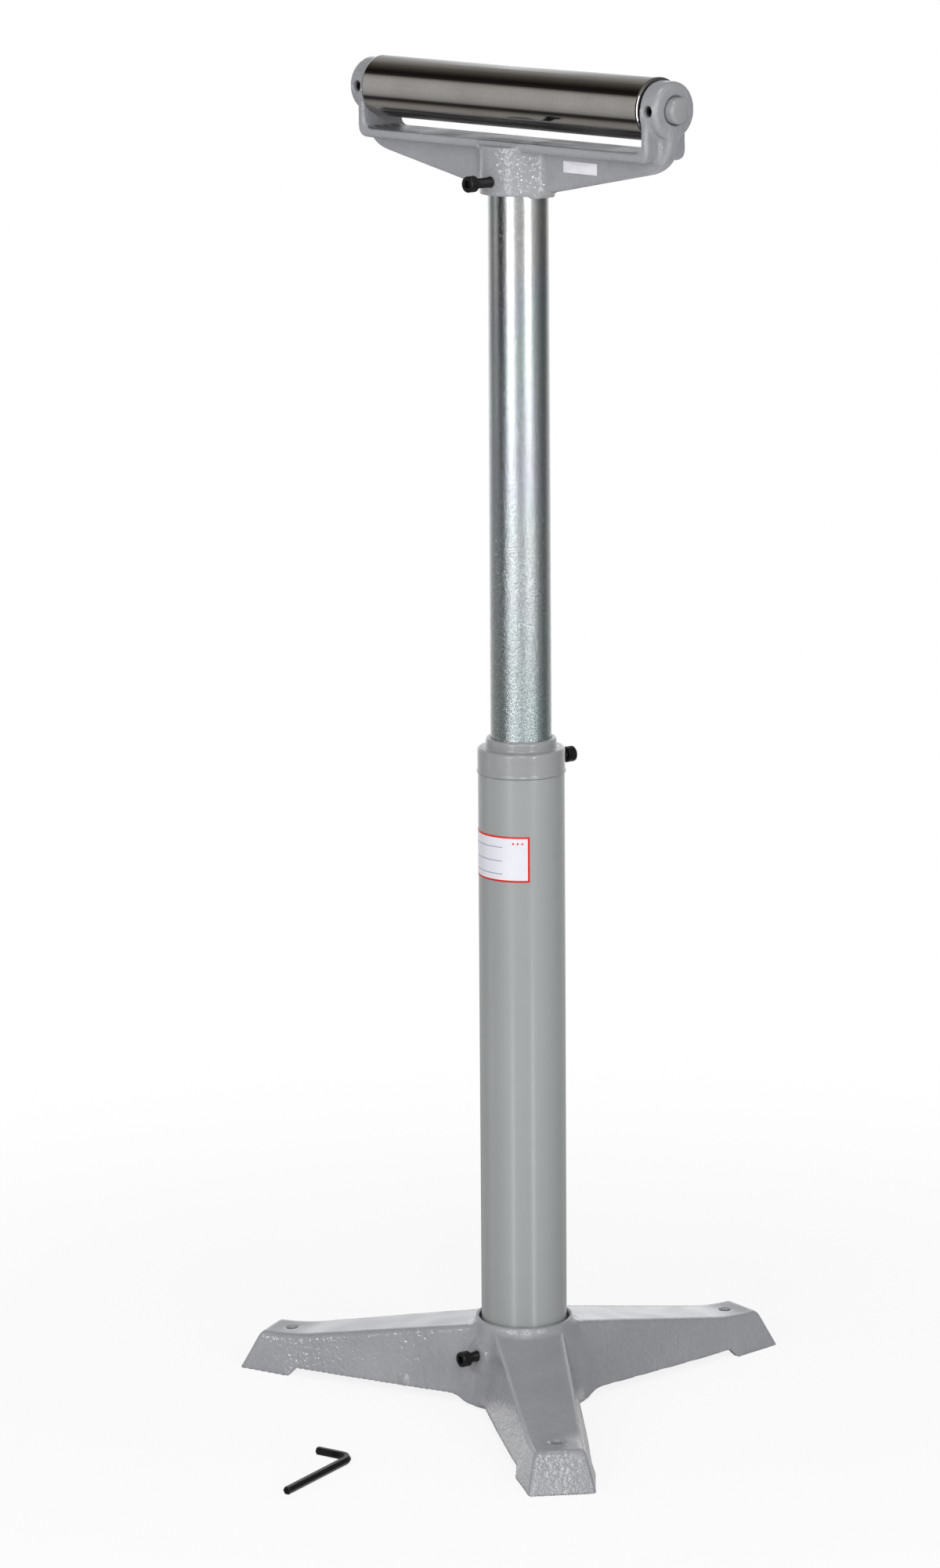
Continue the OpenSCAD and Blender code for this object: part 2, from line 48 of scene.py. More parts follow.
SENSOR, FOCAL_PIXELS, PHOTO_HEIGHT = 36.0, 6993.3, 2001.0
FLOOR_COLOUR, FLOOR_HALF = (0.92, 0.92, 0.93, 1), 9
FADE_START, FADE_END, FADE_NEAR = 0.3, 1.1, 0.86


def add(tree, kind, values=None, **settings):
    """One node of a shader tree. A value is a number or colour for a socket, or a socket to link to it."""
    made = tree.nodes.new(kind)
    for key, value in settings.items():
        setattr(made, key, value)
    for key, value in (values or {}).items():
        if isinstance(value, bpy.types.NodeSocket):
            tree.links.new(value, made.inputs[key])
        else:
            made.inputs[key].default_value = value
    return made


def ramp(tree, factor, stops):
    """A colour ramp through (place, colour) stops."""
    made = add(tree, "ShaderNodeValToRGB", {0: factor})
    bands = made.color_ramp.elements
    while len(bands) < len(stops):
        bands.new(0.5)
    for band, (place, colour) in zip(bands, stops):
        band.position, band.color = place, (*colour, 1)
    return made.outputs["Color"]


def arithmetic(tree, operation, a, b=0.0, c=0.0):
    """A sum, product or other operation on up to three numbers or sockets."""
    return add(tree, "ShaderNodeMath", {0: a, 1: b, 2: c}, operation=operation).outputs[0]


def spread(tree, value, low=0.0, high=1.0, first=0.0, last=1.0, **settings):
    """A value carried from the range low to high into the range first to last, and held at both ends."""
    return add(tree, "ShaderNodeMapRange", {"Value": value, "From Min": low, "From Max": high,
                                            "To Min": first, "To Max": last}, **settings).outputs["Result"]


def eased(tree, value, low, high, first=0.0, last=1.0):
    """The same, with a soft start and a soft end."""
    return spread(tree, value, low, high, first, last, interpolation_type="SMOOTHSTEP")


def part_of(tree, vector, axis):
    """One of a vector's parts, named X, Y or Z."""
    return add(tree, "ShaderNodeSeparateXYZ", {0: vector}).outputs[axis]


def turned_by(a, b, degrees):
    """Two directions at right angles, both turned in their plane by an angle from a towards b."""
    c, s = math.cos(math.radians(degrees)), math.sin(math.radians(degrees))
    return a * c + b * s, b * c - a * s


camera = bpy.data.objects.new("camera", bpy.data.cameras.new("camera"))
camera.data.sensor_width, camera.data.lens = SENSOR, FOCAL_PIXELS * SENSOR / PHOTO_HEIGHT
camera.data.clip_start, camera.data.clip_end = 0.05, 60
right_c, right_s = math.cos(math.radians(CAMERA_DEGREES)), math.sin(math.radians(CAMERA_DEGREES))
side, ahead, top = np.array([right_c, right_s, 0]), np.array([-right_s, right_c, 0]), np.array([0, 0, 1.0])
ahead, side = turned_by(ahead, side, YAW_DEGREES)
ahead, top = turned_by(ahead, top, -PITCH_DEGREES)
side, top = turned_by(side, top, -ROLL_DEGREES)
turn = Matrix([(*side, 0), (*top, 0), (*-ahead, 0), (0, 0, 0, 1)]).transposed()
camera.matrix_world = Matrix.Translation(CAMERA_PLACE) @ turn
bpy.context.scene.collection.objects.link(camera)
bpy.context.scene.camera = camera
bpy.context.scene.view_settings.view_transform = "Standard"

world = bpy.data.worlds.new("studio")
bpy.context.scene.world = world
world.use_nodes = True
sky = world.node_tree
sky.nodes.clear()
direction = add(sky, "ShaderNodeTexCoord").outputs["Generated"]
east, north, lift = [part_of(sky, direction, axis) for axis in "XYZ"]


def share_of_turn(tree, a, b):
    """Angle of (a, b) as a share of a turn, with 0.5 where a is nought and b is positive."""
    return arithmetic(tree, "MULTIPLY_ADD", arithmetic(tree, "ARCTAN2", a, b), 1 / (2 * math.pi), 0.5)


def between(tree, value, low, high, soft):
    """1 where a value lies between two limits, with soft edges."""
    return arithmetic(tree, "MULTIPLY", eased(tree, value, low - soft, low + soft),
                      eased(tree, value, high - soft, high + soft, 1.0, 0.0))


def mixed(tree, factor, a, b, blend="MIX"):
    """Colour a blended with colour b by a factor. Each of the three is a socket or a plain value."""
    made = add(tree, "ShaderNodeMix", {0: factor}, data_type="RGBA", blend_type=blend)
    for socket, value in zip([s for s in made.inputs if s.type == "RGBA"], (a, b)):
        if isinstance(value, bpy.types.NodeSocket):
            tree.links.new(value, socket)
        else:
            socket.default_value = (*value, 1)
    return [s for s in made.outputs if s.type == "RGBA"][0]


def grey_ramp(tree, factor, stops):
    """Ramp through (degrees, grey level, warmth) stops round a whole turn."""
    return ramp(tree, factor, [(0.5 + a / 360, (g * w, g, g / w)) for a, g, w in stops])


# What a ray meets on its way round the X axis, from -Y upwards: this is what the roller shows
ROLLER_BANDS = [(-180, 0.05, 1.0), (-100, 0.01, 1.0), (-89, 0.03, 1.0), (-78, 0.40, 1.03), (-64, 0.38, 1.05),
                (-55, 0.20, 1.07), (-50, 0.05, 1.03), (-41, 0.04, 1.03), (-34, 0.40, 1.02),
                (-22, 0.60, 1.01), (0, 0.72, 1.005), (22, 0.70, 1.01), (34, 0.60, 1.03), (41, 0.35, 1.05),
                (47, 0.03, 1.07), (60, 0.012, 1.1), (69, 0.03, 1.14), (78, 0.07, 1.12), (93, 0.16, 1.10),
                (112, 0.42, 1.04), (138, 0.62, 0.99), (156, 0.95, 0.98), (169, 1.7, 0.98), (180, 1.7, 0.98)]
# What a ray meets on its way round the Z axis, from the camera's side to the right: the mast shows this
MAST_BANDS = [(-180, 1.9, 1.0), (-140, 0.90, 1.0), (-122, 0.25, 1.0), (-95, 0.20, 1.0), (-86, 0.06, 0.98),
              (-62, 0.03, 0.98), (-52, 0.30, 0.97), (-42, 0.74, 0.98), (-14, 0.76, 0.985), (4, 0.52, 0.98),
              (14, 0.50, 0.98), (26, 0.64, 0.985), (52, 0.68, 0.985), (66, 0.44, 0.98), (80, 0.22, 0.98),
              (96, 0.11, 0.98), (122, 0.14, 0.99), (140, 0.80, 1.0), (180, 1.9, 1.0)]
ROLLER_EAST, ROLLER_EDGE = (-0.80, -0.64), 0.02
CLOTH_GREY, CLOTH_SHARE, CEILING_GREY = (0.25, 0.25, 0.255), 0.8, (0.24, 0.24, 0.245)
FILL_LOW, FILL_HIGH = (0.55, 0.55, 0.565), (0.33, 0.33, 0.34)

roller_room = grey_ramp(sky, share_of_turn(sky, lift, arithmetic(sky, "MULTIPLY", north, -1)), ROLLER_BANDS)
to_right = arithmetic(sky, "ADD", arithmetic(sky, "MULTIPLY", east, right_c),
                      arithmetic(sky, "MULTIPLY", north, right_s))
to_camera = arithmetic(sky, "SUBTRACT", arithmetic(sky, "MULTIPLY", east, right_s),
                       arithmetic(sky, "MULTIPLY", north, right_c))
mast_room = grey_ramp(sky, share_of_turn(sky, to_right, to_camera), MAST_BANDS)
# Dark cloths low down behind the stand, which the sides of the front leg and the column's edges show
low_behind = arithmetic(sky, "MULTIPLY", spread(sky, to_camera, -0.5, -0.8), spread(sky, lift, -0.19, -0.25))
room = mixed(sky, arithmetic(sky, "MULTIPLY", low_behind, CLOTH_SHARE), mast_room, CLOTH_GREY)
room = mixed(sky, eased(sky, lift, 0.42, 0.62), room, CEILING_GREY)
room = mixed(sky, between(sky, east, *ROLLER_EAST, ROLLER_EDGE), room, roller_room)
fill = mixed(sky, spread(sky, lift, 0.2, 0.9), FILL_LOW, FILL_HIGH)
path = add(sky, "ShaderNodeLightPath")
seen = mixed(sky, path.outputs["Is Glossy Ray"], fill, room)
seen = mixed(sky, path.outputs["Is Camera Ray"], seen, (1.0, 1.0, 1.0))
back = add(sky, "ShaderNodeBackground", {"Color": seen, "Strength": 1.0})
add(sky, "ShaderNodeOutputWorld", {"Surface": back.outputs[0]})


def soft_box(name, around, distance, height, width, tall, watts, aim_height):
    """Area lamp at a number of degrees to the right of the camera, facing the column's axis at aim_height.
    Its distance from that axis, its height and its size are in metres."""
    lamp = bpy.data.lights.new(name, "AREA")
    lamp.shape, lamp.size, lamp.size_y, lamp.energy = "RECTANGLE", width, tall, watts
    holder = bpy.data.objects.new(name, lamp)
    a = math.radians(CAMERA_DEGREES + around)
    place = np.array([math.sin(a) * distance, -math.cos(a) * distance, height])
    back_way = place - np.array([0, 0, aim_height])
    z = back_way / np.linalg.norm(back_way)
    x = np.cross([0, 0, 1], z)
    x /= np.linalg.norm(x)
    turned_to = Matrix([(*x, 0), (*np.cross(z, x), 0), (*z, 0), (0, 0, 0, 1)]).transposed()
    holder.matrix_world = Matrix.Translation(place) @ turned_to
    bpy.context.scene.collection.objects.link(holder)
    return holder


soft_box("left_box", around=-31, distance=2.8, height=1.45, width=1.25, tall=1.1, watts=21, aim_height=0.8)
soft_box("left_strip", around=-31, distance=2.7, height=0.5, width=0.34, tall=0.9, watts=7, aim_height=0.4)
soft_box("right_box", around=36, distance=2.8, height=1.40, width=1.00, tall=1.1, watts=15, aim_height=0.8)
soft_box("right_strip", around=34, distance=2.7, height=0.5, width=0.30, tall=0.9, watts=6, aim_height=0.4)
soft_box("key", around=4, distance=3.2, height=2.15, width=0.8, tall=0.8, watts=19, aim_height=0.5)
soft_box("overhead", around=0, distance=0.8, height=2.8, width=0.6, tall=0.6, watts=8, aim_height=0.3)
# Two small lamps that only the castings see: they add glints to their pebbled paint
castings = bpy.data.collections.new("castings")
left_glint = soft_box("left_glint", around=-60, distance=2.6, height=1.10, width=0.16, tall=0.16, watts=5.0,
                      aim_height=0.3)
front_glint = soft_box("front_glint", around=6, distance=3.0, height=1.00, width=0.18, tall=0.18, watts=8,
                       aim_height=0.9)
for glint in (left_glint, front_glint):
    glint.light_linking.receiver_collection = castings
# Two upright strips under the floor's level that only the column sees, as pale lines on its foot. They throw
# no shadow, so the floor does not hide them.
column_only = bpy.data.collections.new("column_only")
for name, around, watts in (("left_foot_strip", -27, 3.0), ("right_foot_strip", 27, 3.6)):
    strip = soft_box(name, around, distance=2.7, height=-0.65, width=0.24, tall=0.6, watts=watts,
                     aim_height=0.2)
    strip.light_linking.receiver_collection = column_only
    strip.data.use_shadow = False

floor_mesh = bpy.data.meshes.new("floor")
floor_corners = [(x * FLOOR_HALF, y * FLOOR_HALF, 0) for x, y in ((-1, -1), (1, -1), (1, 1), (-1, 1))]
floor_mesh.from_pydata(floor_corners, [], [(0, 1, 2, 3)])
floor = bpy.data.objects.new("floor", floor_mesh)
bpy.context.scene.collection.objects.link(floor)
floor.visible_glossy = False
sweep = bpy.data.materials.new("sweep")
sweep.use_nodes = True
paper = sweep.node_tree
paper.nodes.clear()
matt = add(paper, "ShaderNodeBsdfDiffuse", {"Color": FLOOR_COLOUR})
white = add(paper, "ShaderNodeEmission", {"Color": (1, 1, 1, 1), "Strength": 1.0})
from_middle = add(paper, "ShaderNodeVectorMath", {0: add(paper, "ShaderNodeTexCoord").outputs["Object"]},
                  operation="LENGTH").outputs["Value"]
fade = eased(paper, from_middle, FADE_START, FADE_END, FADE_NEAR, 1.0)
is_camera = add(paper, "ShaderNodeLightPath").outputs["Is Camera Ray"]
share = arithmetic(paper, "MULTIPLY", is_camera, fade)
lit = add(paper, "ShaderNodeMixShader", {0: share, 1: matt.outputs[0], 2: white.outputs[0]})
add(paper, "ShaderNodeOutputMaterial", {"Surface": lit.outputs[0]})
floor_mesh.materials.append(sweep)

# Base. One grey iron casting: a hub that the column stands in and three hollow legs with an anchor hole in
# each foot. It is cast in sand, fettled and dipped in thick grey gloss paint, which dries with a pebbled skin
# and softens every corner. The stand's base is turned by 7 degrees from its head.
STAND_TURN = math.radians(-7)
LEG_ANGLES = [math.radians(a) for a in (-30, 90, 210)]
FOOT_TOP_H, LEG_ROOT_H = 31.0, 63.0
LEG_STATIONS = LEG_ROOT_X, KNEE_X, TOE_TOP_X, TOE_X = 30.0, 200.7, 226.8, 242.6
LEG_HALF_TOP, LEG_DRAFT = (27.4, 20.7, 19.3, 18.5), (0.2116, 0.335, 0.275, 0.248)
ARCH_ENDS, ARCH_HEIGHTS = (190.5, 197.0), (7.0, 0.0)
LEG_WALL, SIDE_WALL_MORE, LEG_START, CREST_COSINE, DRAFT_COSINE = 7.0, 0.8, 12, 0.985, 0.962
HUB_TOP, RIM_R, HUB_SPREAD, HUB_FOOT, HUB_COSINE = 68.3, 39.7, 11.5, 4.0, 0.984
SEAT_R, RIM_BORE_R, LEDGE_R, LEDGE_Z, RECESS_Z = 34.25, 36.2, 26.25, 8.0, 61.3
ANCHOR_X, ANCHOR_R, ANCHOR_BOSS_R = 207.2, 4.75, 9.5
BASE_SCREW_Z, BASE_BOSS_REACH, BASE_BOSS_START, CLAMP_HOLE_R = 42.0, 47.5, 30, 4.05
BASE_BOSS_R, BASE_BOSS_FOOT_R = 10.5, 14.0
FILLET_HIGH, FILLET_MORE, FILLET_TOP, FILLET_RUN = 4.0, 9.0, 58, 22
LUMP_PLACE, LUMP_R = (-62.3, -74.1, 11), 3.6
NOWHERE = -9.0
CASTING_GREY, CASTING_DEEP = (0.290, 0.294, 0.306), (0.238, 0.241, 0.253)
CASTING_PEBBLES, CASTING_DEPTH, CASTING_ROUGHNESS = 290.0, 0.00044, 0.12


def join(a, b, round_over):
    """Union of two fields: their minimum, with the corner filled over a band of round_over."""
    near = np.maximum(round_over - np.abs(a - b), 0) / round_over
    return np.minimum(a, b) - near * near * round_over / 4


def keep(a, b, round_over):
    """Intersection of two fields: their maximum, with the corner rounded off over a band of round_over."""
    return -join(-a, -b, round_over)


def swell(x, y, z, height, length):
    """Slow unevenness of a sand casting: three products of sines that never repeat on the piece."""
    k = 2 * math.pi / length
    across = np.sin(k * x + 1.3) * np.sin(0.83 * k * y + 0.4)
    along = np.sin(0.71 * k * y - 0.9) * np.sin(1.19 * k * z + 2.1)
    return height / 3 * (across + along + np.sin(0.93 * k * z) * np.sin(1.07 * k * x + 0.6 * k * y))


def skin_of(field, low, high, step):
    """Closed surface where field(x, y, z) = 0, negative inside, in a box. Every cell of a cubic grid that the
    surface crosses has one point, the mean of the crossings on its edges, and every crossed grid edge has one
    quad between its four cells. Then the points slide along the field's slope onto the surface."""
    origin = np.array(low, float) - 1.5 * step
    counts = np.ceil((np.array(high) - origin) / step).astype(int) + 2
    axes = [origin[i] + step * np.arange(counts[i]) for i in range(3)]
    value = field(*np.meshgrid(*axes, indexing="ij", sparse=True))
    inside = value < 0
    filled = sum(inside[i:i + counts[0] - 1, j:j + counts[1] - 1, k:k + counts[2] - 1].astype(np.int8)
                 for i in (0, 1) for j in (0, 1) for k in (0, 1))
    cells = np.argwhere((filled > 0) & (filled < 8))
    number = np.full(filled.shape, -1)
    number[tuple(cells.T)] = np.arange(len(cells))
    corners = np.array([(i, j, k) for i in (0, 1) for j in (0, 1) for k in (0, 1)])
    level = np.stack([value[tuple((cells + c).T)] for c in corners])
    total, hits = np.zeros((len(cells), 3)), np.zeros(len(cells))
    for a in range(8):
        for b in range(a + 1, 8):
            if np.abs(corners[a] - corners[b]).sum() == 1:
                crossed = (level[a] < 0) != (level[b] < 0)
                share = np.where(crossed, level[a] / np.where(crossed, level[a] - level[b], 1), 0)
                total += (corners[a] + share[:, None] * (corners[b] - corners[a])) * crossed[:, None]
                hits += crossed
    points = origin + step * (cells + total / hits[:, None])
    quads = []
    for d in range(3):
        one = np.eye(3, dtype=int)
        e, f = one[(d + 1) % 3], one[(d + 2) % 3]
        first = inside[tuple(slice(0, -1) if i == d else slice(1, -1) for i in range(3))]
        second = inside[tuple(slice(1, None) if i == d else slice(1, -1) for i in range(3))]
        at = np.argwhere(first != second)
        outwards = first[tuple(at.T)]
        at = at + 1 - one[d]
        ring = np.stack([number[tuple((at - e - f).T)], number[tuple((at - f).T)], number[tuple(at.T)],
                         number[tuple((at - e).T)]], 1)
        quads += [ring[outwards], ring[~outwards][:, ::-1]]
    nudge = 0.05
    for _ in range(2):
        slope = np.stack([(field(*(points + nudge * s).T) - field(*(points - nudge * s).T)) / (2 * nudge)
                          for s in np.eye(3)], 1)
        move = field(*points.T)[:, None] * slope / np.maximum((slope ** 2).sum(1), 0.2)[:, None]
        points -= np.clip(move, -0.45 * step, 0.45 * step)
    return points, np.concatenate(quads)


def piece(name, points, faces, body, material, node):
    """A mesh from points in millimetres and faces of one size or a list of such. It rides on a CAD body and
    stands for one CAD node."""
    mesh = bpy.data.meshes.new(name)
    groups = faces if isinstance(faces, list) else [faces]
    sizes = np.concatenate([np.full(len(g), g.shape[1]) for g in groups])
    mesh.vertices.add(len(points))
    mesh.vertices.foreach_set("co", np.ascontiguousarray(points * 0.001, np.float32).ravel())
    mesh.loops.add(int(sizes.sum()))
    mesh.loops.foreach_set("vertex_index", np.concatenate([g.ravel() for g in groups]).astype(np.int32))
    mesh.polygons.add(len(sizes))
    mesh.polygons.foreach_set("loop_start", np.concatenate([[0], np.cumsum(sizes)[:-1]]).astype(np.int32))
    mesh.polygons.foreach_set("use_smooth", np.full(len(sizes), True))
    mesh.update(calc_edges=True)
    mesh.validate()
    mesh.materials.append(material)
    made = bpy.data.objects.new(name, mesh)
    bpy.context.scene.collection.objects.link(made)
    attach(made, body)
    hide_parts(node)
    return made


def leg_fields(x, y, z, angle):
    """Outside and hollow of one leg, and its anchor hole. The outside is where the height is under the crest
    line, the distance from the leg's middle plane is under a half width that grows downwards with the draft,
    and the toe slopes."""
    u = x * math.cos(angle) + y * math.sin(angle)
    w = np.abs(y * math.cos(angle) - x * math.sin(angle))
    slope = (LEG_ROOT_H - FOOT_TOP_H) / (KNEE_X - LEG_ROOT_X)
    crest = keep(LEG_ROOT_H - (u - LEG_ROOT_X) * slope, np.full_like(u, FOOT_TOP_H), 3.0)
    half = np.interp(u, LEG_STATIONS, LEG_HALF_TOP) + np.interp(u, LEG_STATIONS, LEG_DRAFT) * (crest - z)
    toe_run, toe_len = TOE_X - TOE_TOP_X, math.hypot(TOE_X - TOE_TOP_X, FOOT_TOP_H)
    toe = ((u - TOE_TOP_X) * FOOT_TOP_H + (z - FOOT_TOP_H) * toe_run) / toe_len
    outside = keep(keep((z - crest) * CREST_COSINE, (w - half) * DRAFT_COSINE, 4.0), toe, 2.5)
    outside = keep(outside, np.interp(u, ARCH_ENDS, ARCH_HEIGHTS) - z + 0.0 * w, 1.0)
    outside = np.maximum(outside, LEG_START - u)
    hollow = keep(keep(z - crest + LEG_WALL, w - half + LEG_WALL + SIDE_WALL_MORE, 5.0), toe + LEG_WALL, 5.0)
    hollow = keep(hollow, RIM_R + HUB_SPREAD + LEG_WALL - u, 5.0)
    from_anchor = np.hypot(u - ANCHOR_X, w)
    hollow = keep(hollow, ANCHOR_BOSS_R - from_anchor, 3.0)
    return outside, hollow, ANCHOR_R - from_anchor


def base_field(x, y, z):
    """The hub is a cone of rotation, joined to the legs with a wide fillet low down and a tight one at the
    rim. The base screw's boss widens towards the hub, and one lump of the casting is left on the left
    leg."""
    c, s = math.cos(STAND_TURN), math.sin(STAND_TURN)
    x, y = x * c + y * s, y * c - x * s
    z = z + 0 * x + 0 * y
    r = np.hypot(x, y) + 0 * z
    hub = (r - RIM_R - (HUB_TOP - z) * HUB_SPREAD / (HUB_TOP - HUB_FOOT)) * HUB_COSINE
    hub = keep(keep(hub, z - HUB_TOP, 2.5), HUB_FOOT - z, 1.2)
    legs = [leg_fields(x, y, z, a) for a in LEG_ANGLES]
    outside = np.minimum(np.minimum(legs[0][0], legs[1][0]), legs[2][0])
    body = join(hub, outside, FILLET_HIGH + FILLET_MORE * np.clip((FILLET_TOP - z) / FILLET_RUN, 0, 1))
    boss_away = np.hypot(x, z - BASE_SCREW_Z)
    lean = (BASE_BOSS_FOOT_R - BASE_BOSS_R) / BASE_BOSS_REACH
    boss = keep(boss_away - BASE_BOSS_R - lean * (BASE_BOSS_REACH + y), -y - BASE_BOSS_REACH, 2.0)
    body = join(body, np.maximum(boss, y + BASE_BOSS_START), 6.0)
    from_lump = np.sqrt((x - LUMP_PLACE[0]) ** 2 + (y - LUMP_PLACE[1]) ** 2 + (z - LUMP_PLACE[2]) ** 2)
    body = join(body, from_lump - LUMP_R, 3.0)
    body = body + swell(x, y, z, 0.18, 43.0)
    for _, hollow, anchor in legs:
        body = keep(keep(body, -hollow, 2.0), anchor, 1.2)
    seat = np.where(z > LEDGE_Z, SEAT_R, np.where(z < HUB_FOOT, SEAT_R, LEDGE_R)) - r
    body = keep(body, seat, 0.8)
    body = keep(body, np.minimum(RIM_BORE_R - r, z - RECESS_Z), 1.0)
    body = np.maximum(body, np.where(y < 0, CLAMP_HOLE_R - boss_away, NOWHERE))
    return np.maximum(body, -z)


def node_group(name, inputs, outputs, build):
    """Shader node group with named number or colour sockets; build(tree, given, result) wires it."""
    tree = bpy.data.node_groups.new(name, "ShaderNodeTree")
    for socket, value in inputs.items():
        kind = "NodeSocketFloat" if isinstance(value, (int, float)) else "NodeSocketColor"
        tree.interface.new_socket(socket, in_out="INPUT", socket_type=kind).default_value = value
    for socket, kind in outputs.items():
        tree.interface.new_socket(socket, in_out="OUTPUT", socket_type=kind)
    given = tree.nodes.new("NodeGroupInput").outputs
    result = tree.nodes.new("NodeGroupOutput").inputs
    build(tree, given, result)
    return tree


def object_place(tree):
    """The place on the piece, in its own metres."""
    return add(tree, "ShaderNodeTexCoord").outputs["Object"]


def noise(tree, place, scale, detail):
    """Soft noise from 0 to 1, with finer layers over it."""
    return add(tree, "ShaderNodeTexNoise", {"Vector": place, "Scale": scale, "Detail": detail}).outputs["Fac"]


def build_pebble(tree, given, result):
    """Pebbled paint: rounded cells of two sizes that fade in and out in patches."""
    place = object_place(tree)
    coarse = add(tree, "ShaderNodeTexVoronoi", {"Vector": place, "Scale": given["Scale"], "Smoothness": 0.6},
                 feature="SMOOTH_F1").outputs["Distance"]
    fine = noise(tree, place, arithmetic(tree, "MULTIPLY", given["Scale"], 1.9), 1.0)
    patch = spread(tree, noise(tree, place, given["Patch scale"], 2.0), 0.38, 0.66)
    cells = arithmetic(tree, "MULTIPLY", arithmetic(tree, "SUBTRACT", 0.7, coarse),
                       arithmetic(tree, "MULTIPLY_ADD", patch, 0.75, 0.25))
    tree.links.new(arithmetic(tree, "ADD", cells, arithmetic(tree, "MULTIPLY", fine, 0.55)), result["Height"])
    tree.links.new(patch, result["Patch"])


def build_drift(tree, given, result):
    """Colour that drifts slowly between two tones, with faint fine mottling."""
    place = object_place(tree)
    slow = arithmetic(tree, "MULTIPLY", noise(tree, place, given["Scale"], 4.0), 0.8)
    fine = noise(tree, place, arithmetic(tree, "MULTIPLY", given["Scale"], 17), 2.0)
    amount = spread(tree, arithmetic(tree, "ADD", slow, arithmetic(tree, "MULTIPLY", fine, 0.3)), 0.4, 0.75)
    tree.links.new(mixed(tree, amount, given["Tone"], given["Other tone"]), result["Colour"])
    tree.links.new(amount, result["Amount"])


pebble_group = node_group("pebbled_skin", {"Scale": 400.0, "Patch scale": 25.0},
                          {"Height": "NodeSocketFloat", "Patch": "NodeSocketFloat"}, build_pebble)
drift_group = node_group("tone_drift", {"Scale": 12.0, "Tone": (0.5, 0.5, 0.5, 1),
                                        "Other tone": (0.4, 0.4, 0.4, 1)},
                         {"Colour": "NodeSocketColor", "Amount": "NodeSocketFloat"}, build_drift)


def drifting(tree, scale, tone, other_tone):
    """Places the drift between two tones in a material. Gives its colour and its amount."""
    made = add(tree, "ShaderNodeGroup", {}, node_tree=drift_group)
    for key, value in (("Scale", scale), ("Tone", (*tone, 1)), ("Other tone", (*other_tone, 1))):
        made.inputs[key].default_value = value
    return made.outputs["Colour"], made.outputs["Amount"]


def finish_of(name, settings):
    """New material with a Principled shader, whose plain sockets are set. Gives (material, tree, shader)."""
    made = bpy.data.materials.new(name)
    made.use_nodes = True
    shader = made.node_tree.nodes["Principled BSDF"]
    for key, value in settings.items():
        shader.inputs[key].default_value = value
    return made, made.node_tree, shader


def feed(tree, shader, colour, roughness=None, height=None, distance=0.0, strength=1.0):
    """Feeds a shader's colour and, where they are given, its roughness and a bump a distance in metres
    deep."""
    tree.links.new(colour, shader.inputs["Base Color"])
    if roughness is not None:
        tree.links.new(roughness, shader.inputs["Roughness"])
    if height is not None:
        bump = add(tree, "ShaderNodeBump", {"Height": height, "Strength": strength, "Distance": distance})
        tree.links.new(bump.outputs["Normal"], shader.inputs["Normal"])


def drifting_finish(name, settings, scale, tone, other_tone, smooth_end=None, rough_end=None):
    """New material whose colour drifts between two tones, and its roughness with it where its ends are
    given."""
    made, tree, shader = finish_of(name, settings)
    colour, amount = drifting(tree, scale, tone, other_tone)
    if smooth_end is None:
        feed(tree, shader, colour)
    else:
        feed(tree, shader, colour, spread(tree, amount, first=smooth_end, last=rough_end))
    return made


def pebbled_paint(name, tone, other_tone, pebble_scale, depth, roughness, patch_scale=25.0, top_share=0.12):
    """Thick gloss paint on a casting: drifting grey under a bumpy skin that is rougher between the patches of
    pebbles. On upward faces, where it flowed out, the bumps are top_share times as deep."""
    made, tree, shader = finish_of(name, {"Specular IOR Level": 0.5})
    colour, _ = drifting(tree, 14.0, tone, other_tone)
    pebble = add(tree, "ShaderNodeGroup", {}, node_tree=pebble_group)
    pebble.inputs["Scale"].default_value = pebble_scale
    pebble.inputs["Patch scale"].default_value = patch_scale
    upward = part_of(tree, add(tree, "ShaderNodeTexCoord").outputs["Normal"], "Z")
    height = arithmetic(tree, "MULTIPLY", pebble.outputs["Height"],
                        spread(tree, upward, 0.86, 0.98, 1.0, top_share))
    rough = spread(tree, pebble.outputs["Patch"], first=roughness + 0.08, last=roughness - 0.06)
    feed(tree, shader, colour, rough, height, depth)
    return made


casting_paint = pebbled_paint("casting_paint", CASTING_GREY, CASTING_DEEP, CASTING_PEBBLES, CASTING_DEPTH,
                              CASTING_ROUGHNESS)
points, quads = skin_of(base_field, (-245, -168, 0), (214, 246, 69), 1.75)
base = piece("cast_base", points, quads, "base", casting_paint, "base_casting")
castings.objects.link(base)

# Clamp screws. Three socket head cap screws in black oxide, one in the base, one in the collar and one in the
# head. Each has a rolled thread, a straight-knurled head with a chamfered rim and a hexagon socket.
THREAD_R, THREAD_PITCH, THREAD_DEPTH, THREAD_START, THREAD_STEPS = 3.93, 1.25, 0.55, 0.8, 7
HEAD_R, HEAD_H, SOCKET_AF, SOCKET_DEPTH, KNURLS, KNURL_DEPTH = 6.25, 8.0, 6.1, 4.0, 36, 0.14
SCREW_COLUMNS, SET_SCREW_COLUMNS = 144, 96


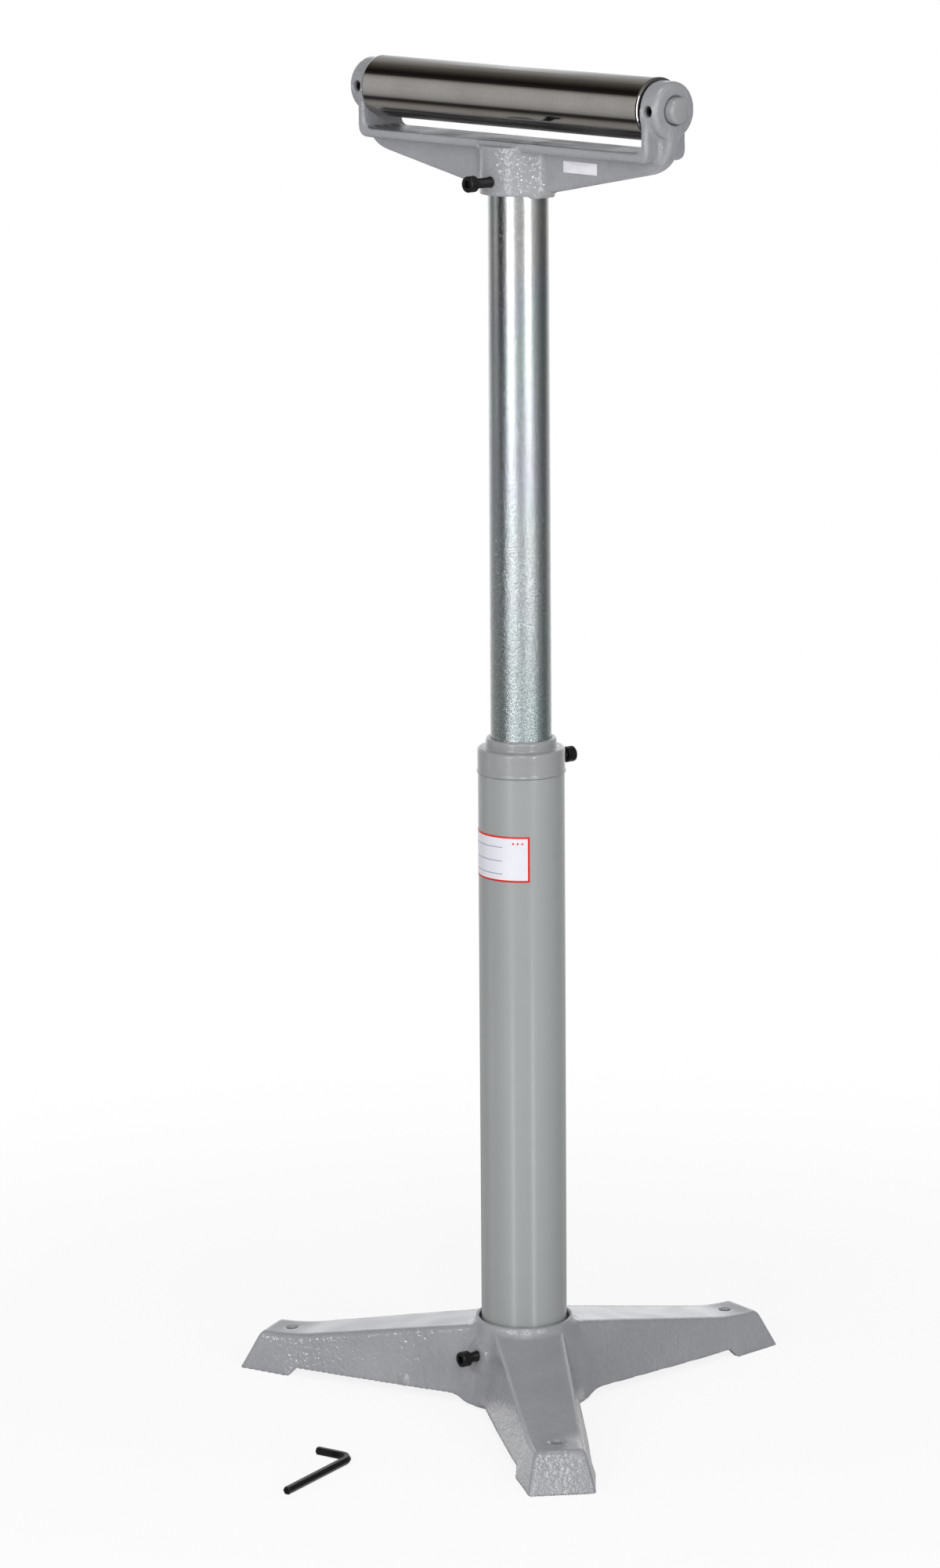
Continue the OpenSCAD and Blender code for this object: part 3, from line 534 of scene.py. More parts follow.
def ring_grid(rows, closed_ends=True):
    """Points and faces of a surface given as rows round an axis. The first and last row shrink to one
    point."""
    count, columns = rows.shape[:2]
    points = rows[1:-1].reshape(-1, 3) if closed_ends else rows.reshape(-1, 3)
    body_rows = count - 2 if closed_ends else count
    i = np.arange(body_rows - 1)[:, None] * columns
    j = np.arange(columns)[None]
    k = (j + 1) % columns
    quads = np.stack([i + j, i + k, i + columns + k, i + columns + j], -1).reshape(-1, 4)
    if not closed_ends:
        return points, [quads]
    points = np.concatenate([points, rows[:1, 0], rows[-1:, 0]])
    low, high, last = len(points) - 2, len(points) - 1, (body_rows - 1) * columns
    fans = np.concatenate([np.stack([k[0], j[0], np.full(columns, low)], 1),
                           np.stack([last + j[0], last + k[0], np.full(columns, high)], 1)])
    return points, [quads, fans]


def placed(points, place, along):
    """Turns points made along +Z to lie along a direction, starting from place."""
    z = np.array(along, float) / np.linalg.norm(along)
    x = np.cross([0, 0, 1] if abs(z[2]) < 0.9 else [0, 1, 0], z)
    x /= np.linalg.norm(x)
    return points @ np.stack([x, np.cross(z, x), z]) + np.array(place, float)


def hexagon(theta, across_flats):
    """Distance from the middle to the side of a regular hexagon in each direction."""
    return across_flats / 2 / np.cos((theta + math.pi / 6) % (math.pi / 3) - math.pi / 6)


def thread(theta, z, low, high):
    """Radius of a rolled thread: a rounded sawtooth of one turn per pitch that fades at both ends."""
    wave = 0.5 - 0.5 * np.cos(2 * math.pi * z / THREAD_PITCH - theta)
    fade = np.clip(np.minimum(z - low, high - z) / THREAD_PITCH, 0, 1)
    return THREAD_R - THREAD_DEPTH * wave ** 0.8 * fade


def screw_surface(theta, tip, thread_top, fade_top, rest):
    """One screw made along +Z. Its tip and the rest above its thread are rows of (height, radius)."""
    z = np.arange(THREAD_START, thread_top, THREAD_PITCH / THREAD_STEPS)[:, None]
    radius = np.concatenate([r for _, r in tip] + [thread(theta, z, THREAD_START, fade_top)]
                            + [r for _, r in rest])
    height = np.concatenate([[[h]] for h, _ in tip] + [z] + [[[h]] for h, _ in rest])
    return ring_grid(np.stack([radius * np.cos(theta), radius * np.sin(theta), height + 0 * radius], -1))


def cap_screw(name, place, along, shank, body, node):
    """Cap screw of one surface: tip, thread, head with knurling, rim, socket wall and socket floor."""
    theta = np.linspace(0, 2 * math.pi, SCREW_COLUMNS, endpoint=False)[None]
    knurl = HEAD_R - KNURL_DEPTH * (0.5 - 0.5 * np.cos(KNURLS * theta)) ** 2
    top_z, floor_z, flat = shank + HEAD_H, shank + HEAD_H - SOCKET_DEPTH, np.ones_like(theta)
    hollow = hexagon(theta, SOCKET_AF)
    tip = [(0.0, 0 * flat), (0.0, 3.0 * flat), (0.35, 3.35 * flat)]
    head = [(shank, 4.2 * flat), (shank, 5.6 * flat), (shank + 0.25, 6.0 * flat),
            (shank + 0.6, HEAD_R * flat), (shank + 1.1, knurl), (top_z - 1.6, knurl),
            (top_z - 1.0, HEAD_R * flat), (top_z - 0.45, 6.0 * flat), (top_z - 0.1, 5.55 * flat),
            (top_z, 5.2 * flat), (top_z, hollow + 0.35), (top_z - 0.35, hollow), (floor_z, hollow),
            (floor_z, 2.6 * flat), (floor_z - 0.9, 0 * flat)]
    points, faces = screw_surface(theta, tip, shank - 0.1, shank - 1.2, head)
    crisp(piece(name, placed(points, place, along), faces, body, black_oxide, node))


def crisp(made, degrees=32):
    """Shades smooth only across edges flatter than an angle."""
    mesh = made.data
    mesh.update()
    ends = np.zeros(len(mesh.loops), np.int32)
    mesh.loops.foreach_get("edge_index", ends)
    starts, totals = np.zeros(len(mesh.polygons), np.int32), np.zeros(len(mesh.polygons), np.int32)
    mesh.polygons.foreach_get("loop_start", starts)
    mesh.polygons.foreach_get("loop_total", totals)
    normals = np.zeros(len(mesh.polygons) * 3, np.float32)
    mesh.polygons.foreach_get("normal", normals)
    owner = np.repeat(np.arange(len(totals)), totals)
    order = np.argsort(ends, kind="stable")
    edge, face = ends[order], owner[order]
    pair = np.flatnonzero(edge[1:] == edge[:-1])
    normals = normals.reshape(-1, 3)
    bend = (normals[face[pair]] * normals[face[pair + 1]]).sum(1) < math.cos(math.radians(degrees))
    sharp = np.zeros(len(mesh.edges), bool)
    sharp[edge[pair[bend]]] = True
    flag = mesh.attributes.get("sharp_edge") or mesh.attributes.new("sharp_edge", "BOOLEAN", "EDGE")
    flag.data.foreach_set("value", sharp)


black_oxide = drifting_finish("black_oxide", {"Specular IOR Level": 0.3}, 120.0, (0.004, 0.004, 0.004),
                              (0.010, 0.009, 0.009), 0.24, 0.42)
FRONT = (math.sin(STAND_TURN), -math.cos(STAND_TURN), 0)
BACK = (-FRONT[0], -FRONT[1], 0)
COLLAR_SCREW_Z, HEAD_SCREW_Z, SCREW_TIP_R, BASE_TIP_R = 522.0, 979.8, 24.3, 34.5
cap_screw("base_screw", (FRONT[0] * BASE_TIP_R, FRONT[1] * BASE_TIP_R, BASE_SCREW_Z), FRONT, 21.5,
          "base_screw", "base_clamp_screw")
cap_screw("collar_screw", (BACK[0] * SCREW_TIP_R, BACK[1] * SCREW_TIP_R, COLLAR_SCREW_Z), BACK, 19.0,
          "collar_screw", "collar_clamp_screw")
cap_screw("head_screw", (0, -SCREW_TIP_R, HEAD_SCREW_Z), (0, -1, 0), 22.1, "head_screw", "head_clamp_screw")

# Column. A plain drawn steel tube that stands in the base, sprayed in smooth mid-grey gloss. Its paint has a
# faint orange peel and a few specks of dust under it.
COLUMN_FOOT, COLUMN_TOP, COLUMN_R, COLUMN_BORE_R = 8.3, 514.3, 34.2, 31.2
COLUMN_GREY, COLUMN_DEEP = (0.297, 0.309, 0.305), (0.278, 0.290, 0.286)


def carried_round(profile, columns):
    """Rows of points: an outline of (radius, height) points carried round +Z."""
    outline = np.array(profile, float)
    theta = np.linspace(0, 2 * math.pi, columns, endpoint=False)
    return np.stack([outline[:, :1] * np.cos(theta), outline[:, :1] * np.sin(theta),
                     outline[:, 1:] + 0 * theta], -1)


def turned(profile, columns=192):
    """Ring-shaped solid of rotation about Z: a closed outline carried round, and a seam from its last row to
    its first."""
    points, (quads,) = ring_grid(carried_round(profile, columns), closed_ends=False)
    last, j = (len(profile) - 1) * columns, np.arange(columns)
    k = (j + 1) % columns
    return points, [np.concatenate([quads, np.stack([last + j, last + k, k, j], 1)])]


def arc(centre, radius, start, end, steps=6):
    """Points of a circle's arc between two angles in degrees."""
    t = np.radians(np.linspace(start, end, steps + 1))
    return [(centre[0] + radius * a, centre[1] + radius * b) for a, b in zip(np.cos(t), np.sin(t))]


def tube_outline(r_in, r_out, low, high, edge):
    """Outline of a tube's wall with all four corners rounded, inner side first and downwards."""
    hold = edge + 0.8
    return ([(r_in, low + hold)] + arc((r_in + edge, low + edge), edge, 180, 270)
            + arc((r_out - edge, low + edge), edge, -90, 0)
            + [(r_out, z) for z in np.linspace(low + hold, high - hold, 12)]
            + arc((r_out - edge, high - edge), edge, 0, 90) + arc((r_in + edge, high - edge), edge, 90, 180)
            + [(r_in, high - hold)])


column_paint, tree, shader = finish_of("column_paint", {"Specular IOR Level": 0.5})
colour, amount = drifting(tree, 5.0, COLUMN_GREY, COLUMN_DEEP)
place = object_place(tree)
peel = arithmetic(tree, "MULTIPLY", noise(tree, place, 260.0, 2.0), 0.35)
speck = add(tree, "ShaderNodeTexVoronoi", {"Vector": place, "Scale": 30.0}).outputs["Distance"]
height = arithmetic(tree, "ADD", peel, spread(tree, speck, 0.0, 0.035, 1.0, 0.0))
feed(tree, shader, colour, spread(tree, amount, first=0.22, last=0.26), height, 0.00005)
points, faces = turned(tube_outline(COLUMN_BORE_R, COLUMN_R, COLUMN_FOOT, COLUMN_TOP, 0.5))
column = piece("column", points, faces, "column", column_paint, "column_tube")
column_only.objects.link(column)

# Collar. A turned casting pressed into the column's top, with a lip that overhangs the tube, a narrower neck
# and a tapped boss at the back for its clamp screw. It is painted with the column, a little thicker.
RING_R, RING_TOP, NECK_R, NECK_TOP, LIP_R, LIP_TOP, LIFT = 34.5, 534.3, 28.05, 542.3, 35.1, 516.3, 0.35
SPIGOT_FOOT, SPIGOT_R, MAST_BORE_R = 469.3, 31.15, 24.05
COLLAR_BOSS_R, COLLAR_BOSS_REACH, COLLAR_BOSS_START = 8.5, 37.5, 26


def collar_field(x, y, z):
    """Stacked discs with rounded rims round one bore, and a short round boss along the screw."""
    z = z + 0 * x + 0 * y
    r = np.hypot(x, y) + 0 * z
    ring = keep(keep(r - RING_R, z - RING_TOP, 2.6), COLUMN_TOP + LIFT - z, 0.4)
    lip = keep(keep(r - LIP_R, z - LIP_TOP, 0.8), COLUMN_TOP + LIFT - z, 0.4)
    neck = keep(keep(r - NECK_R, z - NECK_TOP, 2.6), RING_TOP - 5 - z, 0.6)
    spigot = np.maximum(r - SPIGOT_R, np.maximum(SPIGOT_FOOT - z, z - RING_TOP + 2))
    along = x * BACK[0] + y * BACK[1] + 0 * z
    away = np.hypot(x * BACK[1] - y * BACK[0], z - COLLAR_SCREW_Z)
    boss = keep(keep(away - COLLAR_BOSS_R, along - COLLAR_BOSS_REACH, 2.0), COLUMN_TOP - z, 0.6)
    body = join(join(ring, lip, 0.6), join(neck, np.maximum(boss, COLLAR_BOSS_START - along), 1.5), 1.6)
    body = body + swell(x, y, z, 0.04, 23.0)
    body = np.minimum(body, spigot)
    body = keep(body, MAST_BORE_R - r, 0.6)
    return np.maximum(body, np.where(along > 0, CLAMP_HOLE_R - away, NOWHERE))


collar_paint = pebbled_paint("collar_paint", (0.285, 0.290, 0.292), (0.250, 0.255, 0.258), 150.0, 0.00008,
                             0.17, patch_scale=40.0)
points, quads = skin_of(collar_field, (-36, -36, 469), (36, 38, 543), 0.75)
piece("collar_ring", points, quads, "column", collar_paint, "collar")

# Label. A printed film wrapped round the column above the base screw: white with a red border and three red
# dots. Its rows are left as plain ruled lines.
LABEL_LOW, LABEL_HIGH, LABEL_WIDTH, FILM = 432.3, 468.8, 76.0, 0.2
LABEL_R, LABEL_TALL, BORDER = COLUMN_R + 0.05, LABEL_HIGH - LABEL_LOW, 1.5
DOTS_FROM_EDGE, DOT_HEIGHT, DOT_R = (5.7, 9.4, 13.0), 31.0, 0.85
RULE_HEIGHTS, RULE_HALF, RULES_MIDDLE, RULES_HALF_WIDTH = (27.6, 16.6, 6.2), 0.28, 30.0, 24.0
LABEL_WHITE, LABEL_DULL, LABEL_INK, LABEL_RED = ((0.71, 0.71, 0.755), (0.67, 0.67, 0.715),
                                                 (0.16, 0.18, 0.30), (0.66, 0.014, 0.008))


def label_shell():
    """Thin curved plate: an arc of the column with two skins and four edges, and flat (u, v) on both
    skins."""
    nu, nv = 90, 24
    u, v = np.meshgrid(np.linspace(0, 1, nu), np.linspace(0, 1, nv), indexing="ij")
    angle = math.atan2(FRONT[1], FRONT[0]) + (u - 0.5) * LABEL_WIDTH / LABEL_R
    skins = [np.stack([r * np.cos(angle), r * np.sin(angle), LABEL_LOW + v * LABEL_TALL], -1)
             for r in (LABEL_R + FILM, LABEL_R)]
    points = np.concatenate([s.reshape(-1, 3) for s in skins])
    i = np.arange(nu * nv).reshape(nu, nv)
    outer = np.stack([i[:-1, :-1], i[1:, :-1], i[1:, 1:], i[:-1, 1:]], -1).reshape(-1, 4)
    inner = outer[:, ::-1] + nu * nv
    rim = np.concatenate([i[:, 0], i[-1, 1:], i[-2::-1, -1], i[0, -2:0:-1]])
    nxt = np.roll(rim, -1)
    edges = np.stack([rim, rim + nu * nv, nxt + nu * nv, nxt], 1)
    flat = np.stack([u.ravel(), v.ravel()], 1)
    return points, np.concatenate([outer, inner, edges]), np.concatenate([flat, flat])


def lay_uv(made, flat):
    """Writes one (u, v) per point into the mesh's UV map."""
    corner = np.zeros(len(made.data.loops), np.int32)
    made.data.loops.foreach_get("vertex_index", corner)
    layer = made.data.uv_layers.new(name="print")
    layer.data.foreach_set("uv", flat[corner].astype(np.float32).ravel())


def near(tree, value, middle, half, soft=0.12):
    """1 where value is within half of middle, with a soft edge."""
    off = arithmetic(tree, "ABSOLUTE", arithmetic(tree, "SUBTRACT", value, middle))
    return spread(tree, off, half - soft, half + soft, 1.0, 0.0)


label_film, tree, shader = finish_of("label_film", {"Roughness": 0.32, "Specular IOR Level": 0.35})
mm = add(tree, "ShaderNodeVectorMath", {0: add(tree, "ShaderNodeUVMap", uv_map="print").outputs["UV"],
                                        1: (LABEL_WIDTH, LABEL_TALL, 1)}, operation="MULTIPLY").outputs[0]
across, up = part_of(tree, mm, "X"), part_of(tree, mm, "Y")
inside = arithmetic(tree, "MULTIPLY", near(tree, across, LABEL_WIDTH / 2, LABEL_WIDTH / 2 - BORDER),
                    near(tree, up, LABEL_TALL / 2, LABEL_TALL / 2 - BORDER))
red = arithmetic(tree, "SUBTRACT", 1.0, inside)
up_part = arithmetic(tree, "POWER", arithmetic(tree, "SUBTRACT", up, DOT_HEIGHT), 2.0)
for from_edge in DOTS_FROM_EDGE:
    sideways = arithmetic(tree, "SUBTRACT", across, LABEL_WIDTH - from_edge)
    across_part = arithmetic(tree, "POWER", sideways, 2.0)
    away = arithmetic(tree, "SQRT", arithmetic(tree, "ADD", across_part, up_part))
    red = arithmetic(tree, "MAXIMUM", red, near(tree, away, 0.0, DOT_R))
lines = 0.0
for rule_height in RULE_HEIGHTS:
    lines = arithmetic(tree, "MAXIMUM", lines, near(tree, up, rule_height, RULE_HALF))
rules = arithmetic(tree, "MULTIPLY", near(tree, across, RULES_MIDDLE, RULES_HALF_WIDTH), lines)
colour, _ = drifting(tree, 40.0, LABEL_WHITE, LABEL_DULL)
feed(tree, shader, mixed(tree, red, mixed(tree, rules, colour, LABEL_INK), LABEL_RED))
points, quads, flat = label_shell()
lay_uv(piece("label", points, quads, "column", label_film, "column_label"), flat)

# Mast. A bright zinc-plated steel tube that slides in the collar. The plating is smooth under the head and
# grows grainy towards the collar, with faint blue and straw tints; a dark guide ring is on its foot.
MAST_FOOT, MAST_TOP, MAST_R, MAST_WALL = 401.3, 1001.4, 24.0, 3.5
SMOOTH_ABOVE, GRAINY_BELOW, TINT_SHARE = 0.95, 0.62, 0.35

galvanised_steel, tree, shader = finish_of("galvanised_steel", {"Metallic": 1.0})
place = object_place(tree)
grainy = spread(tree, part_of(tree, place, "Z"), SMOOTH_ABOVE, GRAINY_BELOW)
colour, _ = drifting(tree, 9.0, (0.50, 0.53, 0.56), (0.60, 0.60, 0.57))
tint = add(tree, "ShaderNodeTexNoise", {"Vector": place, "Scale": 13.0, "Detail": 2.0}).outputs["Color"]
tinted = mixed(tree, TINT_SHARE, mixed(tree, grainy, colour, (0.55, 0.60, 0.59)), tint, "SOFT_LIGHT")
grain = add(tree, "ShaderNodeTexNoise", {"Vector": place, "Scale": 760.0, "Detail": 3.0,
                                         "Roughness": 0.7}).outputs["Fac"]
fleck = arithmetic(tree, "MULTIPLY", spread(tree, grain, 0.35, 0.65), grainy)
spangle = add(tree, "ShaderNodeTexVoronoi", {"Vector": place, "Scale": 420.0}).outputs["Color"]
height = arithmetic(tree, "ADD", grain, arithmetic(tree, "MULTIPLY", part_of(tree, spangle, "X"), 0.4))
height = arithmetic(tree, "MULTIPLY", height, spread(tree, grainy, first=0.35))
speckled = mixed(tree, fleck, tinted, (0.40, 0.44, 0.44))
feed(tree, shader, speckled, spread(tree, grainy, first=0.17, last=0.255), height, 0.00036)
points, faces = turned(tube_outline(MAST_R - MAST_WALL, MAST_R, MAST_FOOT, MAST_TOP, 0.6))
piece("mast", points, faces, "mast", galvanised_steel, "mast_tube")


def dress(material, *nodes):
    """Gives carried-over CAD nodes a material."""
    for node in nodes:
        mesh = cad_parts[node].data
        mesh.materials.clear()
        mesh.materials.append(material)


dress(drifting_finish("guide_plastic", {"Roughness": 0.5}, 60.0, (0.03, 0.03, 0.032), (0.05, 0.05, 0.05)),
      "mast_guide_ring")

# Head. One iron casting on the mast's top: a socket hub, a web that narrows to both ends, a flat plate and
# two uprights that carry the axle in round bosses. Cast, drilled and painted as the base is.
HUB_R, HEAD_FOOT, PLATE_TOP, PLATE_FOOT, PLATE_HALF, OVERLAP = 30.0, 969.2, 1010.7, 1003.7, 21.25, 3
UPRIGHT_IN, UPRIGHT_OUT, BOSS_OUT, BOSS_R, ROLLER_Z = 153.4, 160.0, 169.5, 21.7, 1042.95
WEB_HALF, WEB_LOW, WEB_SLOPE, WEB_COSINE, SOCKET_TOP = 6.25, 964.6, 0.199, 0.981, 1001.7
AXLE_R, AXLE_GROOVE, SET_SCREW_X, SET_SCREW_R, FLARE_R = 10.0, 1.3, 160.7, 4.05, 4.95


def head_field(x, y, z):
    """Hub, web, channel and bosses as rounded solids, joined with fillets and then bored."""
    side = np.abs(x) + 0 * y + 0 * z
    z = z + 0 * side
    wide = np.abs(y) + 0 * side
    r = np.hypot(x, y) + 0 * z
    hub = keep(keep(r - HUB_R, HEAD_FOOT - z, 1.5), z - PLATE_FOOT - OVERLAP, 1.0)
    outline = keep((WEB_LOW + WEB_SLOPE * side - z) * WEB_COSINE, side - BOSS_OUT, 26.0)
    under = np.minimum(z - PLATE_FOOT - OVERLAP, UPRIGHT_IN + OVERLAP - side)
    web = keep(keep(wide - WEB_HALF, outline, 4.0), np.maximum(under, z - ROLLER_Z), 1.5)
    channel = keep(side - UPRIGHT_OUT, PLATE_FOOT - z, 9.0)
    channel = keep(channel, -keep(side - UPRIGHT_IN, PLATE_TOP - z, 9.0), 2.5)
    channel = keep(channel, wide - PLATE_HALF, 3.0)
    channel = np.maximum(channel, z - ROLLER_Z)
    out = np.hypot(wide, z - ROLLER_Z)
    boss = keep(keep(out - BOSS_R, side - BOSS_OUT, 5.0), UPRIGHT_IN - side, 1.2)
    body = join(join(hub, web, 11.0), channel, 4.0)
    body = join(body, boss, 3.0) + swell(x + 0 * z, y + 0 * z, z, 0.15, 37.0)
    body = np.maximum(body, np.where(z > PLATE_TOP + 12, UPRIGHT_IN - side, NOWHERE))
    body = keep(body, np.minimum(MAST_BORE_R - r, SOCKET_TOP - z), 0.8)
    body = keep(body, AXLE_R + 0.05 - out, 0.8)
    groove = np.where(side > BOSS_OUT - AXLE_GROOVE, AXLE_R + AXLE_GROOVE - out, NOWHERE)
    body = keep(body, groove, 0.5)
    flare = SET_SCREW_R + (FLARE_R - SET_SCREW_R) * np.clip((wide - BOSS_R + 2.0) / 1.6, 0, 1)
    front = (y + 0 * side) < 0
    body = np.maximum(body, np.where(front, flare - np.hypot(side - SET_SCREW_X, z - ROLLER_Z), NOWHERE))
    clamp_hole = CLAMP_HOLE_R - np.hypot(x + 0 * z, z - HEAD_SCREW_Z) + 0 * side
    return np.maximum(body, np.where(front, clamp_hole, NOWHERE))


def painted_roller_shade(tree, shader):
    """Painted shade on the plate under the roller: dark streaks of noise drawn out along X, on upward faces at
    the plate's height only, where the paint is also duller."""
    place = add(tree, "ShaderNodeTexCoord").outputs
    near_top = arithmetic(tree, "COMPARE", part_of(tree, place["Object"], "Z"), PLATE_TOP / 1000, 0.003)
    level = arithmetic(tree, "GREATER_THAN", part_of(tree, place["Normal"], "Z"), 0.8)
    flat = arithmetic(tree, "MULTIPLY", near_top, level)
    drawn_out = add(tree, "ShaderNodeVectorMath", {0: place["Object"], 1: (14.0, 170.0, 14.0)},
                    operation="MULTIPLY").outputs[0]
    shade_streak = spread(tree, noise(tree, drawn_out, 1.0, 3.0), 0.38, 0.60, 0.0, 0.85)
    painted, gloss = [shader.inputs[key].links[0].from_socket for key in ("Base Color", "Roughness")]
    # The near-black mixed in here is painted shade under the roller, not a mark on the paint
    feed(tree, shader, mixed(tree, arithmetic(tree, "MULTIPLY", flat, shade_streak), painted, (0.07, 0.07, 0.08)),
         arithmetic(tree, "MULTIPLY_ADD", flat, 0.28, gloss))


points, quads = skin_of(head_field, (-170, -31, 969), (170, 31, 1066), 1.0)
head_paint = pebbled_paint("head_paint", CASTING_GREY, CASTING_DEEP, CASTING_PEBBLES, CASTING_DEPTH,
                           CASTING_ROUGHNESS, top_share=1.6)
# Painted shade: dark streaks on the plate's top under the roller
painted_roller_shade(head_paint.node_tree, head_paint.node_tree.nodes["Principled BSDF"])
head = piece("cast_head", points, quads, "head", head_paint, "head_casting")
castings.objects.link(head)

# Sticker. A plain strip of white film with rounded corners, stuck on the front of the head's web to the right
# of the hub.
STICKER_X, STICKER_Z, STICKER_W, STICKER_H, STICKER_CORNER = 74.5, 994.0, 36.4, 8.9, 0.6


def flat_shell(width, height, thick, corner):
    """Thin plate with rounded corners in the XZ plane, facing -Y: an outline carried through its depth."""
    x, z = width / 2 - corner, height / 2 - corner
    outline = np.array(arc((x, -z), corner, -90, 0) + arc((x, z), corner, 0, 90)
                       + arc((-x, z), corner, 90, 180) + arc((-x, -z), corner, 180, 270))
    scales = np.array([0.0, 0.985, 1.0, 1.0, 0.985, 0.0])[:, None, None]
    depth = np.array([-thick, -thick, -0.7 * thick, -0.3 * thick, 0.0, 0.0])
    rows = np.concatenate([outline[None] * scales, np.zeros((6, len(outline), 1))], 2)
    rows = np.stack([rows[..., 0], depth[:, None] + 0 * rows[..., 0], rows[..., 1]], -1)
    return ring_grid(rows[::-1])


sticker_film = drifting_finish("sticker_film", {"Roughness": 0.45}, 90.0, (0.80, 0.79, 0.83),
                               (0.70, 0.69, 0.74))
points, faces = flat_shell(STICKER_W, STICKER_H, FILM, STICKER_CORNER)
points += (STICKER_X, -WEB_HALF - 0.05, STICKER_Z)
piece("sticker", points, faces, "head", sticker_film, "head_sticker")

# Axle. A steel bar through both bosses, held by two set screws. Its ends are domed and painted over with the
# casting, and a narrow groove is left round each where it enters the boss.
AXLE_END, AXLE_STEP, AXLE_COLUMNS = 176.3, 160.0, 128


def along_roller(points):
    """Turns points made about Z so that they lie about the roller's axis."""
    return points[:, [2, 1, 0]] * (1, -1, 1) + (0, 0, ROLLER_Z)


axle_paint = pebbled_paint("axle_paint", (0.285, 0.295, 0.295), (0.250, 0.258, 0.260), 120.0, 0.00006, 0.16,
                           patch_scale=60.0)
dome = [(0.0, AXLE_END), (3.0, AXLE_END - 0.06), (6.0, AXLE_END - 0.30)]
shoulder = arc((7.2, AXLE_END - 3.3), 2.8, 84, 0)
profile = np.array(dome + shoulder + [(AXLE_R, AXLE_STEP), (AXLE_R, 0.0)])
profile = np.concatenate([profile, (profile * (1, -1))[-2::-1]])
points, faces = ring_grid(carried_round(profile, AXLE_COLUMNS)[::-1])
piece("axle_bar", along_roller(points), faces, "head", axle_paint, "axle")

# Set screws. Two short headless screws in black oxide, with a hexagon socket in their ends. They sit in the
# bosses' bores from the front, with their tips just clear of the axle.
SET_LOW, SET_LENGTH, SET_KEY = 10.3, 8.0, 4.1
theta = np.linspace(0, 2 * math.pi, SET_SCREW_COLUMNS, endpoint=False)[None]
flat, hollow = np.ones_like(theta), hexagon(theta, SET_KEY)
mouth = [(SET_LENGTH - 0.4, 3.7 * flat), (SET_LENGTH, 3.3 * flat), (SET_LENGTH, hollow + 0.2),
         (SET_LENGTH - 0.2, hollow), (SET_LENGTH - SOCKET_DEPTH, hollow),
         (SET_LENGTH - SOCKET_DEPTH - 0.7, 0 * flat)]
for name, x in (("left", -SET_SCREW_X), ("right", SET_SCREW_X)):
    points, faces = screw_surface(theta, [(0.0, 0 * flat), (0.0, 3.0 * flat)], SET_LENGTH - 0.6,
                                  SET_LENGTH - 0.6, mouth)
    crisp(piece(f"set_screw_{name}", placed(points, (x, -SET_LOW, ROLLER_Z), (0, -1, 0)), faces,
                f"axle_screw_{name}", black_oxide, f"axle_set_screw_{name}"))

# Roller. A thick steel tube, turned and polished to a dark mirror, with small bright chamfers at its ends and
# a ball bearing pressed into each. It is the stand's one working face.
ROLLER_R, ROLLER_HALF, ROLLER_BORE_R, BEARING_SEAT_R, SEAT_FOOT = 24.05, 152.4, 19.85, 21.05, 139.0
ROLLER_COLUMNS = 256

polished_steel, tree, shader = finish_of("polished_steel", {"Metallic": 1.0})
place = object_place(tree)
lines_at = add(tree, "ShaderNodeMapping", {"Vector": place, "Scale": (900.0, 14.0, 14.0)}).outputs[0]
turning = noise(tree, lines_at, 1.0, 2.0)
colour, _ = drifting(tree, 22.0, (0.435, 0.422, 0.410), (0.365, 0.351, 0.338))
fleck = add(tree, "ShaderNodeTexVoronoi", {"Vector": place, "Scale": 160.0}).outputs["Distance"]
scarred = mixed(tree, spread(tree, fleck, 0.0, 0.12, 0.6, 0.0), colour, (0.62, 0.60, 0.57))
feed(tree, shader, scarred, spread(tree, turning, first=0.045, last=0.10), turning, 0.00002, 0.25)
half_outline = [(ROLLER_BORE_R, 0.0), (ROLLER_BORE_R, SEAT_FOOT), (BEARING_SEAT_R, SEAT_FOOT),
                (BEARING_SEAT_R, ROLLER_HALF - 0.4), (BEARING_SEAT_R + 0.4, ROLLER_HALF),
                (ROLLER_R - 0.8, ROLLER_HALF), (ROLLER_R - 0.25, ROLLER_HALF - 0.3),
                (ROLLER_R, ROLLER_HALF - 0.9), (ROLLER_R, ROLLER_HALF - 1.8), (ROLLER_R, 0.0)]
points, faces = turned(half_outline[::-1][:-1] + [(r, -h) for r, h in half_outline], ROLLER_COLUMNS)
roller = piece("roller", along_roller(points), faces, "roller", polished_steel,
               "roller_tube")
crisp(roller, 25)

# Bearings. Two shielded ball bearings inside the roller's ends, with ground steel rings, polished balls in
# pressed brass cages and dark shields. Plain steel spacers stand between them and the uprights.
BOTH = ("left", "right")
bearing_steel = drifting_finish("bearing_steel", {"Metallic": 1.0}, 80.0, (0.52, 0.53, 0.54),
                                (0.44, 0.44, 0.45), 0.22, 0.34)
ball_steel = drifting_finish("ball_steel", {"Metallic": 1.0, "Roughness": 0.08}, 200.0, (0.72, 0.72, 0.73),
                             (0.62, 0.62, 0.64))
cage_brass = drifting_finish("cage_brass", {"Metallic": 1.0, "Roughness": 0.32}, 150.0, (0.56, 0.40, 0.19),
                             (0.42, 0.29, 0.13))
shield_steel = drifting_finish("shield_steel", {"Metallic": 0.8, "Roughness": 0.45}, 150.0,
                               (0.10, 0.10, 0.105), (0.05, 0.05, 0.05))
for finish, part in ((bearing_steel, "bearing_inner_ring"), (bearing_steel, "bearing_outer_ring"),
                     (bearing_steel, "axle_spacer"), (ball_steel, "bearing_balls"),
                     (cage_brass, "bearing_cage"), (shield_steel, "bearing_shields")):
    dress(finish, *[f"{part}_{end}" for end in BOTH])

